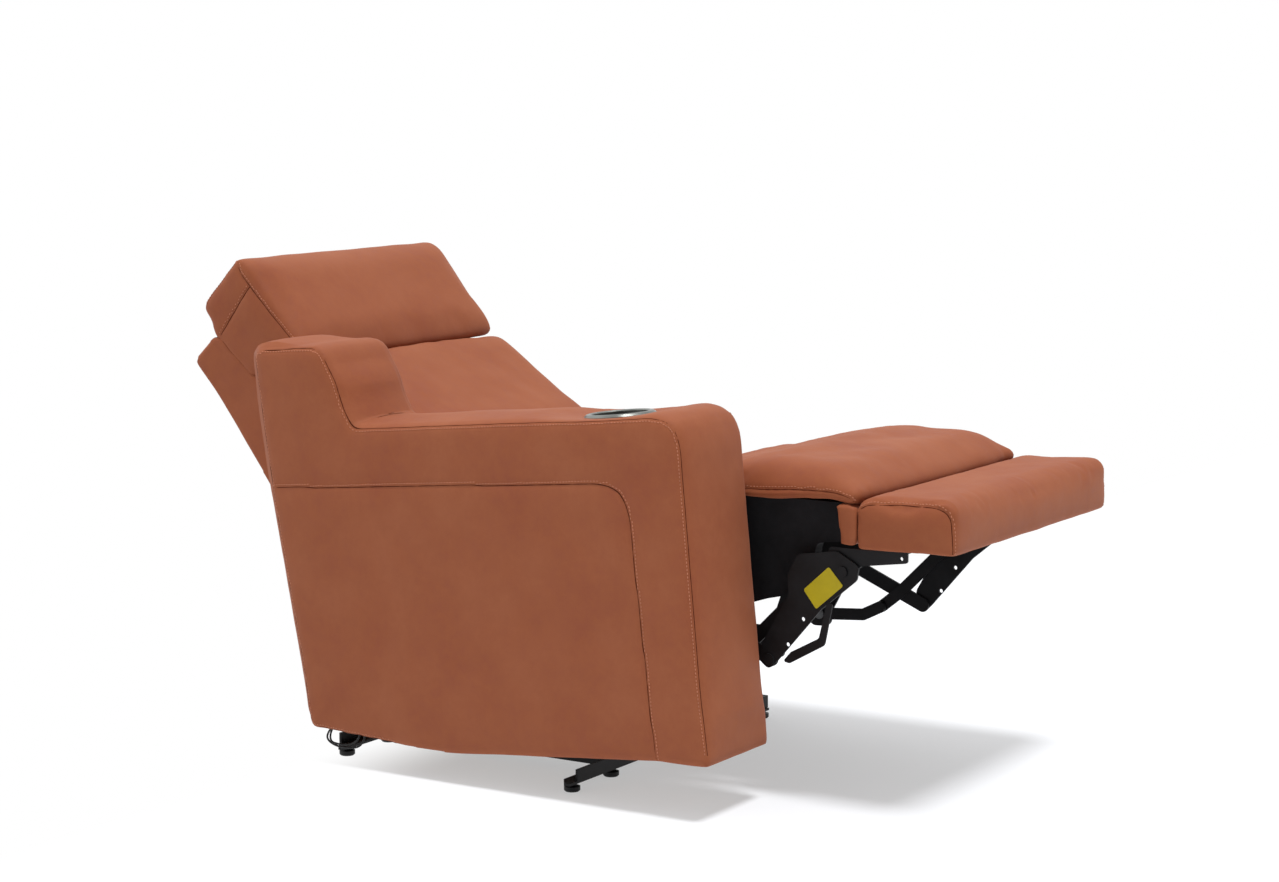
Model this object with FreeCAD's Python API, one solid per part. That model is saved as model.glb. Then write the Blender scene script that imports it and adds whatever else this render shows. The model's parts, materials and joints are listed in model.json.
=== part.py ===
import FreeCAD, Part
import math
import os

# A one-armed power recliner seat, shown reclined with its footrest out.
# All sizes are millimetres. X runs across the seat, the arm being at -X. Y runs back, Z up.
# While it is worked out, y = 0 is at the foot of the arm's front. The finished pieces are
# moved so that the origin lies on the floor under the middle of the chair.

# Driving dimensions
SEAT_WIDTH = 560.0
ARM_WIDTH = 183.0
MIDDLE_Y = 404.0
TILT = 5.57                     # degrees that the arm leans back while the chair is reclined

# Arm, as it stands when level
ARM_FRONT_Y = 2.0
ARM_FLOOR_GAP = 24.0
ARM_TOP = 538.0
ARM_WING_Y = 598.0
WING_TOP = 672.0
WING_REAR_Y = 789.0
ARM_REAR_Y = 737.0
ARM_SKIN = 16.0
ARM_BOARD = 12.0
SOFT_GAP = 0.3

# Cup holder
CUP_Y = 158.0
CUP_RING_R = 55.5
CUP_R = 44.0
CUP_DEPTH = 76.0
CUP_WALL = 1.5
CUP_RING_PROUD = 5.0

# Switch panel on the seat side of the arm
PANEL_Y = 175.0
PANEL_Z = 497.0
PANEL_LENGTH = 118.0
PANEL_HEIGHT = 30.0
PANEL_DEPTH = 9.0
BUTTON_R = 8.0
BUTTON_PITCH = 26.0
BUTTON_GAP = 0.3
BUTTON_TRAVEL = 1.2

# Floor frame
GLIDE_R = 12.8
GLIDE_HEIGHT = 14.0
BAR_DEPTH = 26.0
BAR_HEIGHT = 22.0
STEEL = 4.0
FRONT_BAR_Y = 279.0
REAR_BAR_Y = 719.0
BAR_INSET_ARM = 41.5            # from the arm's outer face to the end of the crossbars
BAR_INSET_SEAT = 79.5           # from the open side to their other end
BAR_TAB = 22.0
RAIL_WIDTH = 50.0
RAIL_HEIGHT = 24.0
RAIL_INSET_ARM = 8.5            # from the seat's near side to the middle of the near rail
RAIL_INSET_SEAT = 101.5         # from the open side to the middle of the far rail
FOOT_INSET = 22.0

# Linkage plates stand in layers, counted inwards from the sides of the seat
PLATE = 4.0
LAYER_GAP = 0.6
FIRST_LAYER = 6.0
PIN_R = 5.0
RIVET_HEAD_R = 9.0
RIVET_HEAD = 2.4
RUNNING = 0.06                  # radial clearance of a pin in its hole
LINK_WIDTH = 24.0
TUBE_R = 12.7
TUBE_WALL = 2.0

# Pivots, with the chair reclined: (y, z)
TILT_AXLE = (719.0, 80.0)
REAR_SWING_FOOT = (517.72, 114.0)
REAR_SWING_HEAD = (450.0, 230.0)
FRONT_SWING_FOOT = (299.79, 114.0)
FRONT_SWING_HEAD = (255.0, 240.0)
LIFT_FOOT = (300.0, 56.0)
LIFT_HEAD = (368.0, 98.0)
BACK_PIVOT = (540.0, 335.0)
LINK_1_REAR = (157.4, 281.5)
LINK_1_FRONT = (3.6, 215.8)
LINK_1_CROSS = (42.7, 234.7)
LINK_2_REAR = (194.5, 182.9)
LINK_3_REAR = (78.0, 206.1)
LINK_3_FRONT = (-107.8, 385.0)
FOOTREST_PIVOT = (-121.7, 363.1)

# Cross tubes
REAR_TUBE = (650.0, 100.0)
FRONT_TUBE = (410.0, 112.0)
SEAT_FRONT_TUBE = (330.0, 212.0)
SEAT_REAR_TUBE = (500.0, 225.0)

# Seat
SEAT_SIDE_GAP = 2.0
BOX_INSET = 46.0
RAIL_BOARD = 20.0
CLOTH = 1.2
BOX_TOP = 463.0
BOX_FRONT_Y = -115.0
BOX_STEP_Y = 60.0
BOX_REAR_Y = 474.0
DECK_FRONT_TOP = 442.0
DECK_REAR_TOP = 314.0
BOX_BOTTOM_FRONT = (120.0, 272.0)
BOX_BOTTOM_REAR = (474.0, 242.0)
APRON_FRONT_Y = -148.0
APRON_BOTTOM = 406.0
PAD_FRONT_Y = -155.0
PAD_REAR_Y = 150.0
PAD_CROWN = 521.0
CUSHION_FRONT_Y = 153.0
CUSHION_REAR_Y = 471.0
CUSHION_FRONT_TOP = 485.0
CUSHION_REAR_TOP = 404.0

# Footrest board
BOARD_REAR_Y = -153.0
BOARD_FRONT_Y = -317.0
BOARD_TOP = 479.0
BOARD_BOTTOM = 402.0
BOARD_CORE = 18.0

# Back and headrest, reclined
BACK_ANGLE = 31.2
BACK_FOOT = (500.0, 396.0)
BACK_LENGTH = 460.0
BACK_CUSHION = 100.0
BACK_GAP = 3.0
SHELL_WALL = 14.0
HINGE_PIN_R = 4.0

# Motors
MOTOR_TUBE_R = 16.0
MOTOR_CASE = 34.0
ROD_R = 9.0
RECLINE_MOTOR_EYE = (650.0, 140.0)
RECLINE_ROD_EYE = (275.0, 190.0)
HEAD_MOTOR_EYE = (800.0, 392.0)

# Worked out from the sizes above
TOTAL_WIDTH = SEAT_WIDTH + ARM_WIDTH
ARM_OUTER_X = -TOTAL_WIDTH / 2
SEAT_NEAR_X = ARM_OUTER_X + ARM_WIDTH
SEAT_FAR_X = TOTAL_WIDTH / 2
SEAT_MIDDLE_X = (SEAT_NEAR_X + SEAT_FAR_X) / 2
ARM_MIDDLE_X = (ARM_OUTER_X + SEAT_NEAR_X) / 2
BAR_NEAR_X = ARM_OUTER_X + BAR_INSET_ARM
BAR_FAR_X = SEAT_FAR_X - BAR_INSET_SEAT
NEAR_RAIL_X = SEAT_NEAR_X + RAIL_INSET_ARM
FAR_RAIL_X = SEAT_FAR_X - RAIL_INSET_SEAT
BACK_TOP = (
    BACK_FOOT[0] + BACK_LENGTH * math.cos(math.radians(BACK_ANGLE)),
    BACK_FOOT[1] + BACK_LENGTH * math.sin(math.radians(BACK_ANGLE)),
)


def from_top(*offsets):
    """Places given by their offsets, back and up, from the top edge of the back cushion."""
    return [(BACK_TOP[0] + back, BACK_TOP[1] + up) for back, up in offsets]



HEADREST_PIVOT, HEAD_ROD_EYE = from_top((24.5, -4.3), (96.5, -59.3))

V = FreeCAD.Vector
ACROSS = V(1, 0, 0)


def save(name, *solids):
    """Write one piece, or one group of like pieces, as a STEP file in the chair's own frame."""
    shape = solids[0] if len(solids) == 1 else Part.makeCompound(list(solids))
    shape.translate(V(0, -MIDDLE_Y, 0))
    shape.exportStep("parts/" + name + ".step")
    print(name, len(shape.Solids), round(shape.Volume / 1000, 1), shape.isValid())


def corner_arc(before, corner, after, radius):
    """Start, middle and end of the arc that rounds one corner of an outline."""
    a = (before - corner).normalize()
    b = (after - corner).normalize()
    half = a.getAngle(b) / 2
    reach = radius / math.tan(half)
    middle = (a + b).normalize() * (radius / math.sin(half))
    centre = corner + middle
    return corner + a * reach, centre - middle.normalize() * radius, corner + b * reach


def outline(points, radii, x):
    """A closed wire in the plane at x through (y, z) points, each corner rounded by its radius."""
    corners = [V(x, y, z) for y, z in points]
    if not isinstance(radii, (list, tuple)):
        radii = [radii] * len(corners)
    edges = []
    start = None
    last = None
    for i, corner in enumerate(corners):
        if radii[i] > 0:
            a, m, b = corner_arc(corners[i - 1], corner, corners[(i + 1) % len(corners)], radii[i])
            if last is not None and (a - last).Length > 1e-6:
                edges.append(Part.makeLine(last, a))
            edges.append(Part.Arc(a, m, b).toShape())
            start = start or a
            last = b
        else:
            if last is not None:
                edges.append(Part.makeLine(last, corner))
            start = start or corner
            last = corner
    if (start - last).Length > 1e-6:
        edges.append(Part.makeLine(last, start))
    return Part.Wire(edges)


def slab(points, x0, x1, radii=0):
    """An outline in the Y-Z plane, given a thickness from x0 to x1."""
    return Part.Face(outline(points, radii, x0)).extrude(V(x1 - x0, 0, 0))


def inset_slab(points, radii, inset, x0, x1):
    """A slab whose outline is drawn in by the inset."""
    return Part.Face(outline(points, radii, x0)).makeOffset2D(-inset).extrude(V(x1 - x0, 0, 0))


def box(x0, x1, y0, y1, z0, z1):
    return Part.makeBox(x1 - x0, y1 - y0, z1 - z0, V(x0, y0, z0))


def rod(point, x0, x1, radius):
    """A round bar across the seat at (y, z)."""
    return Part.makeCylinder(radius, x1 - x0, V(x0, point[0], point[1]), ACROSS)


def pipe(point, x0, x1, radius, wall):
    return rod(point, x0, x1, radius).cut(rod(point, x0, x1, radius - wall))


def spun(profile):
    """A solid of revolution about the upright axis at the origin, from (radius, height) points."""
    corners = [V(radius, 0, z) for radius, z in profile]
    return Part.Face(Part.makePolygon(corners + corners[:1])).revolve(V(0, 0, 0), V(0, 0, 1), 360)


def along(start, end, share):
    return (start[0] + (end[0] - start[0]) * share, start[1] + (end[1] - start[1]) * share)


def turned(shape, pivot, degrees):
    shape.rotate(V(0, pivot[0], pivot[1]), ACROSS, degrees)
    return shape


def tilted(shape):
    """Lean an arm piece, drawn level, back about the tilt axle."""
    return turned(shape, TILT_AXLE, -TILT)


def layer(number):
    """Outer and inner x of a plate layer on the arm's side of the seat."""
    outer = SEAT_NEAR_X + FIRST_LAYER + number * (PLATE + LAYER_GAP)
    return outer, outer + PLATE


def far_twin(shape):
    """The same piece for the other side of the seat."""
    return shape.mirror(V(SEAT_MIDDLE_X, 0, 0), ACROSS)


def pair(shape):
    return [shape, far_twin(shape)]


def bar(start, end, width, x0, x1):
    """A flat bar with round ends from one pivot to another."""
    length = math.dist(start, end)
    side = V(0, -(end[1] - start[1]) / length, (end[0] - start[0]) / length) * (width / 2)
    a, b = V(x0, *start), V(x0, *end)
    out = V(0, end[0] - start[0], end[1] - start[1]).normalize() * (width / 2)
    edges = [
        Part.makeLine(a + side, b + side),
        Part.Arc(b + side, b + out, b - side).toShape(),
        Part.makeLine(b - side, a - side),
        Part.Arc(a - side, a - out, a + side).toShape(),
    ]
    return Part.Face(Part.Wire(edges)).extrude(V(x1 - x0, 0, 0))


def drilled(shape, points, x0, x1, radius):
    for point in points:
        shape = shape.cut(rod(point, x0 - 1, x1 + 1, radius))
    return shape


def rivet(point, x0, x1, head_outside, head_inside):
    """A pivot rivet from x0 to x1, with a low round head on the chosen ends."""
    shape = rod(point, x0, x1, PIN_R)
    if head_outside:
        shape = shape.fuse(rod(point, x0 - RIVET_HEAD, x0, RIVET_HEAD_R))
    if head_inside:
        shape = shape.fuse(rod(point, x1, x1 + RIVET_HEAD, RIVET_HEAD_R))
    return shape.removeSplitter()


def soft_section(x, points, bulges, draw):
    """A closed wire of arcs through (y, z) points. Each arc bulges outwards by its own amount."""
    middle_y = sum(p[0] for p in points) / len(points)
    middle_z = sum(p[1] for p in points) / len(points)
    corners = []
    for y, z in points:
        dy, dz = middle_y - y, middle_z - z
        reach = math.hypot(dy, dz)
        corners.append(V(x, y + dy / reach * draw, z + dz / reach * draw))
    edges = []
    for i, a in enumerate(corners):
        b = corners[(i + 1) % len(corners)]
        chord = b - a
        outwards = V(0, chord.z, -chord.y).normalize()
        edges.append(Part.Arc(a, (a + b) * 0.5 + outwards * bulges[i], b).toShape())
    return Part.Wire(edges)


def soft_loft(points, bulges, x0, x1, draw, crown=1.0):
    """A cushion: full in the middle of its width, drawn in at both ends. Points run clockwise
    seen from +X, so that outwards is to the left of each run."""
    width = x1 - x0
    near = [(0.0, draw, 0.2), (0.03, draw * 0.5, 0.4), (0.08, draw * 0.2, 0.65),
            (0.16, draw * 0.06, 0.85), (0.3, 0.0, 0.97)]
    stations = [(x0 + share * width, d, c) for share, d, c in near]
    stations.append(((x0 + x1) / 2, 0.0, crown))
    stations += [(x1 - share * width, d, c) for share, d, c in reversed(near)]
    wires = [soft_section(x, points, [b * share for b in bulges], d) for x, d, share in stations]
    return Part.makeLoft(wires, True, True)


# Arm
ARM_OUTLINE = [
    (ARM_FRONT_Y, ARM_FLOOR_GAP),
    (ARM_FRONT_Y, ARM_TOP),
    (ARM_WING_Y, ARM_TOP),
    (ARM_WING_Y + 50, WING_TOP - 4),
    (WING_REAR_Y, WING_TOP),
    (ARM_REAR_Y + 40, 447),
    (ARM_REAR_Y, 62),
    (ARM_REAR_Y - 47, 55),
    (562, 33),
    (473, ARM_FLOOR_GAP),
]
ARM_RADII = [6, 58, 16, 34, 14, 0, 10, 0, 0, 0]
ARM_BOLTS = [(360.0, 128.0), (452.0, 126.0), (600.0, 112.0)]
BOLT_R = 4.0
SPACER_R = 11.0
INNER_CUT_TOP = 66.0


def arm_upholstery():
    """Leather over foam: a hollow form, open below, with a hole for the cup and a bay for the switches."""
    skin = slab(ARM_OUTLINE, ARM_OUTER_X, SEAT_NEAR_X, ARM_RADII)
    x0, x1 = ARM_OUTER_X + ARM_SKIN, SEAT_NEAR_X - ARM_SKIN
    hollow = inset_slab(ARM_OUTLINE, ARM_RADII, ARM_SKIN, x0, x1)
    mouth = box(x0, x1, ARM_FRONT_Y + ARM_SKIN, ARM_REAR_Y - 20, 0, 120)
    skin = skin.cut(hollow).cut(mouth)
    skin = skin.cut(box(x1 - 1, SEAT_NEAR_X + 1, 240, ARM_REAR_Y + 20, 0, INNER_CUT_TOP))
    skin = skin.cut(cup_hole(CUP_R + CUP_WALL + SOFT_GAP))
    skin = skin.cut(switch_bay(PANEL_DEPTH + SOFT_GAP, SOFT_GAP))
    skin = tilted(skin)
    for point in ARM_BOLTS:
        skin = skin.cut(rod(point, x1 - 1, SEAT_NEAR_X + 1, SPACER_R + SOFT_GAP))
    return skin


def cup_hole(radius):
    return Part.makeCylinder(radius, CUP_DEPTH + 40, V(ARM_MIDDLE_X, CUP_Y, ARM_TOP - CUP_DEPTH - 30))


def switch_bay(depth, gap):
    half, rise = PANEL_LENGTH / 2 + gap, PANEL_HEIGHT / 2 + gap
    corners = [
        (PANEL_Y - half, PANEL_Z - rise),
        (PANEL_Y - half, PANEL_Z + rise),
        (PANEL_Y + half, PANEL_Z + rise),
        (PANEL_Y + half, PANEL_Z - rise),
    ]
    return slab(corners, SEAT_NEAR_X - depth, SEAT_NEAR_X + 1, 6)


def arm_boards():
    """Plywood frame of the arm: two side boards and the ring of rails between them."""
    gap = ARM_SKIN + SOFT_GAP
    x0, x1 = ARM_OUTER_X + gap, SEAT_NEAR_X - gap
    foot = box(x0 - 1, x1 + 1, -50, 900, 0, 64)
    inner_foot = box(x0 - 1, x1 + 1, -50, 900, 0, INNER_CUT_TOP + 12)
    outer = inset_slab(ARM_OUTLINE, ARM_RADII, gap, x0, x0 + ARM_BOARD).cut(foot)
    inner = inset_slab(ARM_OUTLINE, ARM_RADII, gap, x1 - ARM_BOARD, x1).cut(inner_foot)
    ring = inset_slab(ARM_OUTLINE, ARM_RADII, gap, x0 + ARM_BOARD, x1 - ARM_BOARD)
    ring = ring.cut(inset_slab(ARM_OUTLINE, ARM_RADII, gap + 18, x0, x1))
    ring = ring.cut(box(x0, x1, ARM_FRONT_Y + gap + 18, ARM_REAR_Y - 45, 0, 120)).cut(inner_foot)
    ring = ring.cut(cup_hole(CUP_R + CUP_WALL + SOFT_GAP))
    outer, inner, ring = tilted(outer), tilted(inner), tilted(ring)
    return outer, drilled(inner, ARM_BOLTS, x1 - ARM_BOARD, x1, BOLT_R + RUNNING), ring


def cup_holder():
    """Spun steel cup with a wide ring that lies on the leather."""
    top = ARM_TOP + CUP_RING_PROUD
    floor = top - CUP_DEPTH
    outside = CUP_R + CUP_WALL
    under_ring = ARM_TOP + 0.1
    cup = spun([
        (0, floor), (CUP_R - 5, floor), (CUP_R, floor + 5), (CUP_R, top - 2), (CUP_R + 2, top - 0.4),
        (CUP_R + 5, top),
        (CUP_RING_R - 3, top - 1), (CUP_RING_R, ARM_TOP + 1), (CUP_RING_R, under_ring),
        (outside, under_ring),
        (outside, floor + 4), (CUP_R - 4, floor - CUP_WALL), (0, floor - CUP_WALL),
    ])
    cup.translate(V(ARM_MIDDLE_X, CUP_Y, 0))
    return tilted(cup)


def button_places():
    return [(PANEL_Y + (i - 1.5) * BUTTON_PITCH, PANEL_Z) for i in range(4)]


def switch_panel():
    panel = switch_bay(PANEL_DEPTH, 0).cut(box(SEAT_NEAR_X, SEAT_NEAR_X + 2, 0, 400, 400, 600))
    for place in button_places():
        panel = panel.cut(rod(place, SEAT_NEAR_X - PANEL_DEPTH + 2, SEAT_NEAR_X + 1,
                              BUTTON_R + BUTTON_GAP))
    return tilted(panel)


def button(place):
    """One push button, drawn out of the panel by its travel and a little more."""
    proud = SEAT_NEAR_X + BUTTON_TRAVEL + 0.3
    foot = SEAT_NEAR_X - PANEL_DEPTH + 2 + BUTTON_TRAVEL + 0.2
    cap = rod(place, foot, proud, BUTTON_R)
    rim = [e for e in cap.Edges if abs(e.CenterOfMass.x - proud) < 0.01]
    return tilted(cap.makeChamfer(0.8, rim))


# Carriage: what carries the arm and swings with it
CARRIAGE_OUTLINE = [
    (276, 92), (276, 130), (296, 146), (530, 144), (690, 118), (742, 98), (742, 60), (690, 60), (500, 90),
]


def carriage_plate():
    x0, x1 = layer(0)
    plate = slab(CARRIAGE_OUTLINE, x0, x1, [10, 16, 20, 40, 60, 16, 16, 20, 80])
    plate = drilled(plate, [TILT_AXLE, FRONT_TUBE, REAR_TUBE], x0, x1, TUBE_R)
    plate = drilled(plate, [FRONT_SWING_FOOT, REAR_SWING_FOOT], x0, x1, PIN_R)
    return drilled(plate, ARM_BOLTS, x0, x1, BOLT_R)


def carriage_pins():
    """Rivets on which the swing links turn, one head outside the plate and one inside the link."""
    x0 = layer(0)[0]
    x1 = layer(1)[1] + 0.3
    return [rivet(p, x0, x1, True, True) for p in (FRONT_SWING_FOOT, REAR_SWING_FOOT)]


def carriage_tube(point):
    x0 = layer(0)[0]
    return pipe(point, x0, 2 * SEAT_MIDDLE_X - x0, TUBE_R, TUBE_WALL)


def arm_bolt(point):
    """Bolt and spacer that hold the arm's inner board to the linkage plate."""
    board = SEAT_NEAR_X - ARM_SKIN - SOFT_GAP
    plate = layer(0)[0]
    shape = rod(point, board - ARM_BOARD - 6, layer(0)[1] + 5, BOLT_R)
    shape = shape.fuse(rod(point, board, plate, SPACER_R))
    return shape.fuse(rod(point, board - ARM_BOARD - 6, board - ARM_BOARD, 7.5)).removeSplitter()


def slotted_lug(x0):
    """Lug on the front cross tube, with the slot that the lift link's pin works in."""
    y, z = LIFT_HEAD
    tube_y, tube_z = FRONT_TUBE
    points = [(y - 16, z - 12), (y - 16, z + 12), (tube_y - 4, tube_z + 20), (tube_y + 18, tube_z + 10),
              (tube_y + 18, tube_z - 12),
              (tube_y - 4, z - 12)]
    lug = slab(points, x0, x0 + PLATE, [11, 11, 8, 8, 8, 8])
    lug = lug.cut(rod(FRONT_TUBE, x0 - 1, x0 + PLATE + 1, TUBE_R))
    return lug.cut(bar((y - 3, z), (y + 15, z), 2 * (PIN_R + 1.5), x0 - 1, x0 + PLATE + 1))


def lift_lug_x():
    """Outer faces of the lugs, one over each rail."""
    return NEAR_RAIL_X + 10, FAR_RAIL_X - 8


def lift_lugs():
    return [slotted_lug(x) for x in lift_lug_x()]


def lift_link(lug_x):
    x0 = lug_x + PLATE + LAYER_GAP
    link = bar(LIFT_FOOT, LIFT_HEAD, 18, x0, x0 + PLATE)
    link = drilled(link, [LIFT_FOOT], x0, x0 + PLATE, PIN_R + RUNNING)
    return link.fuse(rod(LIFT_HEAD, lug_x - 2, x0, PIN_R)).removeSplitter()


def lift_bracket(lug_x):
    """Upright ear on a rail, with the pin that the lift link turns on."""
    y, z = LIFT_FOOT
    x0 = lug_x + 2 * (PLATE + LAYER_GAP)
    foot = GLIDE_HEIGHT + STEEL + RAIL_HEIGHT
    ear = slab([(y - 8, foot), (y - 12, z + 11), (y + 12, z + 11), (y + 34, foot)], x0, x0 + PLATE,
               [0, 9, 9, 0])
    pin = rod(LIFT_FOOT, x0 - LAYER_GAP - PLATE - 0.3, x0 + PLATE, PIN_R)
    head = rod(LIFT_FOOT, x0 - LAYER_GAP - PLATE - 0.3 - RIVET_HEAD, x0 - LAYER_GAP - PLATE - 0.3,
               PIN_R + 2)
    return ear.fuse(pin).fuse(head).removeSplitter()


def clevis_ears(points, radii, eye, tube, hole):
    """Two like ears on a cross tube, either side of the motor."""
    ears = []
    for x0 in (SEAT_MIDDLE_X - MOTOR_CASE / 2 - PLATE, SEAT_MIDDLE_X + MOTOR_CASE / 2):
        ear = slab(points, x0, x0 + PLATE, radii)
        ear = ear.cut(rod(tube, x0 - 1, x0 + PLATE + 1, TUBE_R))
        ears.append(ear.cut(hole(x0)))
    return ears


def motor_clevis():
    """Ears on the rear cross tube, and the pin that the recline motor swings on."""
    y, z = RECLINE_MOTOR_EYE
    tube_y, tube_z = REAR_TUBE
    points = [(y - 13, z - 4), (y - 13, z + 13), (y + 13, z + 13), (tube_y + 18, tube_z),
              (tube_y + 12, tube_z - 14), (tube_y - 12, tube_z - 14),
              (tube_y - 18, tube_z)]
    ears = clevis_ears(points, [4, 12, 12, 6, 6, 6, 6], RECLINE_MOTOR_EYE, REAR_TUBE,
                       lambda x0: rod(RECLINE_MOTOR_EYE, x0 - 1, x0 + PLATE + 1, PIN_R))
    half = MOTOR_CASE / 2 + PLATE
    return ears + [rivet(RECLINE_MOTOR_EYE, SEAT_MIDDLE_X - half, SEAT_MIDDLE_X + half, True, True)]


# Floor frame
def glide_places():
    rails = (NEAR_RAIL_X - 12, FAR_RAIL_X + 18)
    return [(x, y) for y in (FRONT_BAR_Y, REAR_BAR_Y) for x in (BAR_NEAR_X + FOOT_INSET + 4,) + rails]


def glide(x, y):
    """Round foot: a wide pad on a short neck, let into the bar above it."""
    foot = spun([(0, 0), (GLIDE_R - 2, 0), (GLIDE_R, 2), (GLIDE_R, 8), (7, 10), (7, GLIDE_HEIGHT),
                 (0, GLIDE_HEIGHT)])
    foot.translate(V(x, y, 0))
    return foot


def crossbar(y, way):
    """Steel angle across the chair. Its ends run out as bent, pointed tabs."""
    z0 = GLIDE_HEIGHT
    flat = box(BAR_NEAR_X, BAR_FAR_X, y - BAR_DEPTH / 2, y + BAR_DEPTH / 2, z0, z0 + STEEL)
    edge = y + way * (BAR_DEPTH - STEEL) / 2
    wall = box(BAR_NEAR_X + BAR_TAB, BAR_FAR_X - BAR_TAB, edge - STEEL / 2, edge + STEEL / 2, z0,
               z0 + BAR_HEIGHT)
    angle = flat.fuse(wall).removeSplitter()
    for x, way in ((BAR_NEAR_X, 1), (BAR_FAR_X, -1)):
        nose = Part.makePolygon([
            V(x, y + BAR_DEPTH / 2, z0 - 1), V(x + way * BAR_TAB, y + BAR_DEPTH / 2, z0 - 1),
            V(x, y - 2, z0 - 1), V(x, y + BAR_DEPTH / 2, z0 - 1)])
        angle = angle.cut(Part.Face(nose).extrude(V(0, 0, STEEL + 2)))
    return angle


def side_rail(x):
    """Channel, open below, that joins the two crossbars."""
    y0, y1 = FRONT_BAR_Y + BAR_DEPTH / 2, REAR_BAR_Y - BAR_DEPTH / 2
    z0 = GLIDE_HEIGHT + STEEL
    rail = box(x - RAIL_WIDTH / 2, x + RAIL_WIDTH / 2, y0, y1, z0, z0 + RAIL_HEIGHT)
    return rail.cut(box(x - RAIL_WIDTH / 2 + 2.5, x + RAIL_WIDTH / 2 - 2.5, y0 - 1, y1 + 1, z0 - 1,
                        z0 + RAIL_HEIGHT - 2.5))


def rail_end(x):
    """Plate that carries a rail on the crossbars and holds it down to them."""
    ends = []
    for y, way in ((FRONT_BAR_Y, -1), (REAR_BAR_Y, 1)):
        z0 = GLIDE_HEIGHT + STEEL
        inner = y + (BAR_DEPTH / 2 if way < 0 else -BAR_DEPTH / 2)
        low, high = sorted((inner, y - BAR_DEPTH / 2 + 4 if way < 0 else y + BAR_DEPTH / 2 - STEEL))
        ends.append(box(x - RAIL_WIDTH / 2, x + RAIL_WIDTH / 2, low, high, z0, z0 + RAIL_HEIGHT - 3))
    return ends


def axle_bracket(x):
    """Upright plate on a rail that the tilt axle turns in."""
    y, z = TILT_AXLE
    foot = GLIDE_HEIGHT + STEEL + RAIL_HEIGHT - 3
    points = [(y - 60, foot + 3), (y - 22, z + 14), (y + 10, z + 22), (y + 20, z + 8), (y + 8, foot),
              (y - 12, foot),
              (y - 12, foot + 3)]
    plate = slab(points, x, x + 5, [3, 14, 14, 10, 0, 0, 0])
    return plate.cut(rod(TILT_AXLE, x - 1, x + 6, TUBE_R + RUNNING))


# Swing links between the carriage and the seat
def rear_swing():
    x0, x1 = layer(1)
    link = bar(REAR_SWING_FOOT, REAR_SWING_HEAD, LINK_WIDTH, x0, x1)
    return drilled(link, [REAR_SWING_FOOT, REAR_SWING_HEAD], x0, x1, PIN_R + RUNNING)


def front_swing():
    """Its head carries its own rivet, which ends just short of the seat plate."""
    x0, x1 = layer(1)
    link = bar(FRONT_SWING_FOOT, FRONT_SWING_HEAD, LINK_WIDTH, x0, x1)
    link = drilled(link, [FRONT_SWING_FOOT], x0, x1, PIN_R + RUNNING)
    return link.fuse(rod(FRONT_SWING_HEAD, x0 - RIVET_HEAD, x0, RIVET_HEAD_R)).removeSplitter()


# Seat
SEAT_PLATE_OUTLINE = [
    (134, 268), (140, 298), (175, 302), (300, 296), (470, 258), (518, 340), (530, 354), (556, 350),
    (558, 322), (526, 216),
    (500, 203), (450, 206), (330, 190), (262, 206), (214, 158), (180, 160), (176, 190),
]
SEAT_PLATE_RADII = [12, 12, 20, 40, 30, 12, 10, 12, 16, 16, 14, 40, 40, 24, 14, 14, 20]
BUSHES = [(250.0, 284.0), (440.0, 258.0)]
BUSH_R = 10.0


def seat_plate():
    x0, x1 = layer(2)
    plate = slab(SEAT_PLATE_OUTLINE, x0, x1, SEAT_PLATE_RADII)
    plate = drilled(plate, [LINK_1_REAR, LINK_2_REAR, REAR_SWING_HEAD, BACK_PIVOT], x0, x1, PIN_R)
    plate = drilled(plate, [SEAT_FRONT_TUBE, SEAT_REAR_TUBE], x0, x1, TUBE_R)
    return drilled(plate, BUSHES, x0, x1, BOLT_R)


def seat_pins():
    """Rivets fixed in the seat plate. The one for the lower link has a distance collar."""
    out, inn = layer(2)
    collar = rod(LINK_2_REAR, inn, layer(5)[0] - LAYER_GAP / 2, RIVET_HEAD_R)
    return [
        rivet(REAR_SWING_HEAD, layer(1)[0] - 0.3, inn, True, False),
        rivet(LINK_1_REAR, out, layer(3)[1] + 0.3, True, True),
        rivet(BACK_PIVOT, out, layer(3)[1] + 0.3, True, True),
        rivet(LINK_2_REAR, out, layer(5)[1] + 0.3, False, True).fuse(collar).removeSplitter(),
    ]


def seat_bush(point):
    """Distance bush and bolt from the seat plate to the side board."""
    x0, x1 = layer(2)
    board = SEAT_NEAR_X + BOX_INSET
    shape = rod(point, x1, board - CLOTH, BUSH_R).fuse(rod(point, x0 - 4, board + RAIL_BOARD + 3, BOLT_R))
    shape = shape.fuse(rod(point, x0 - 4, x0, 7)).fuse(rod(point, board + RAIL_BOARD,
                                                           board + RAIL_BOARD + 3, 7))
    return shape.removeSplitter()


def seat_tube(point):
    x0 = layer(2)[0]
    return pipe(point, x0, 2 * SEAT_MIDDLE_X - x0, TUBE_R, TUBE_WALL)


def seat_motor_fork():
    """Fork on the front seat tube. Its slots give the motor's pin room while the seat swings."""
    y, z = RECLINE_ROD_EYE
    tube_y, tube_z = SEAT_FRONT_TUBE
    points = [(y - 13, z - 40), (y - 13, z + 20), (tube_y + 4, tube_z + 22), (tube_y + 18, tube_z + 4),
              (tube_y + 8, tube_z - 16),
              (y + 13, z - 40)]
    return clevis_ears(points, [10, 10, 10, 8, 8, 10], RECLINE_ROD_EYE, SEAT_FRONT_TUBE,
                       lambda x0: bar((y, z - 27), (y, z + 5), 2 * PIN_R + 5, x0 - 1, x0 + PLATE + 1))


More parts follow.
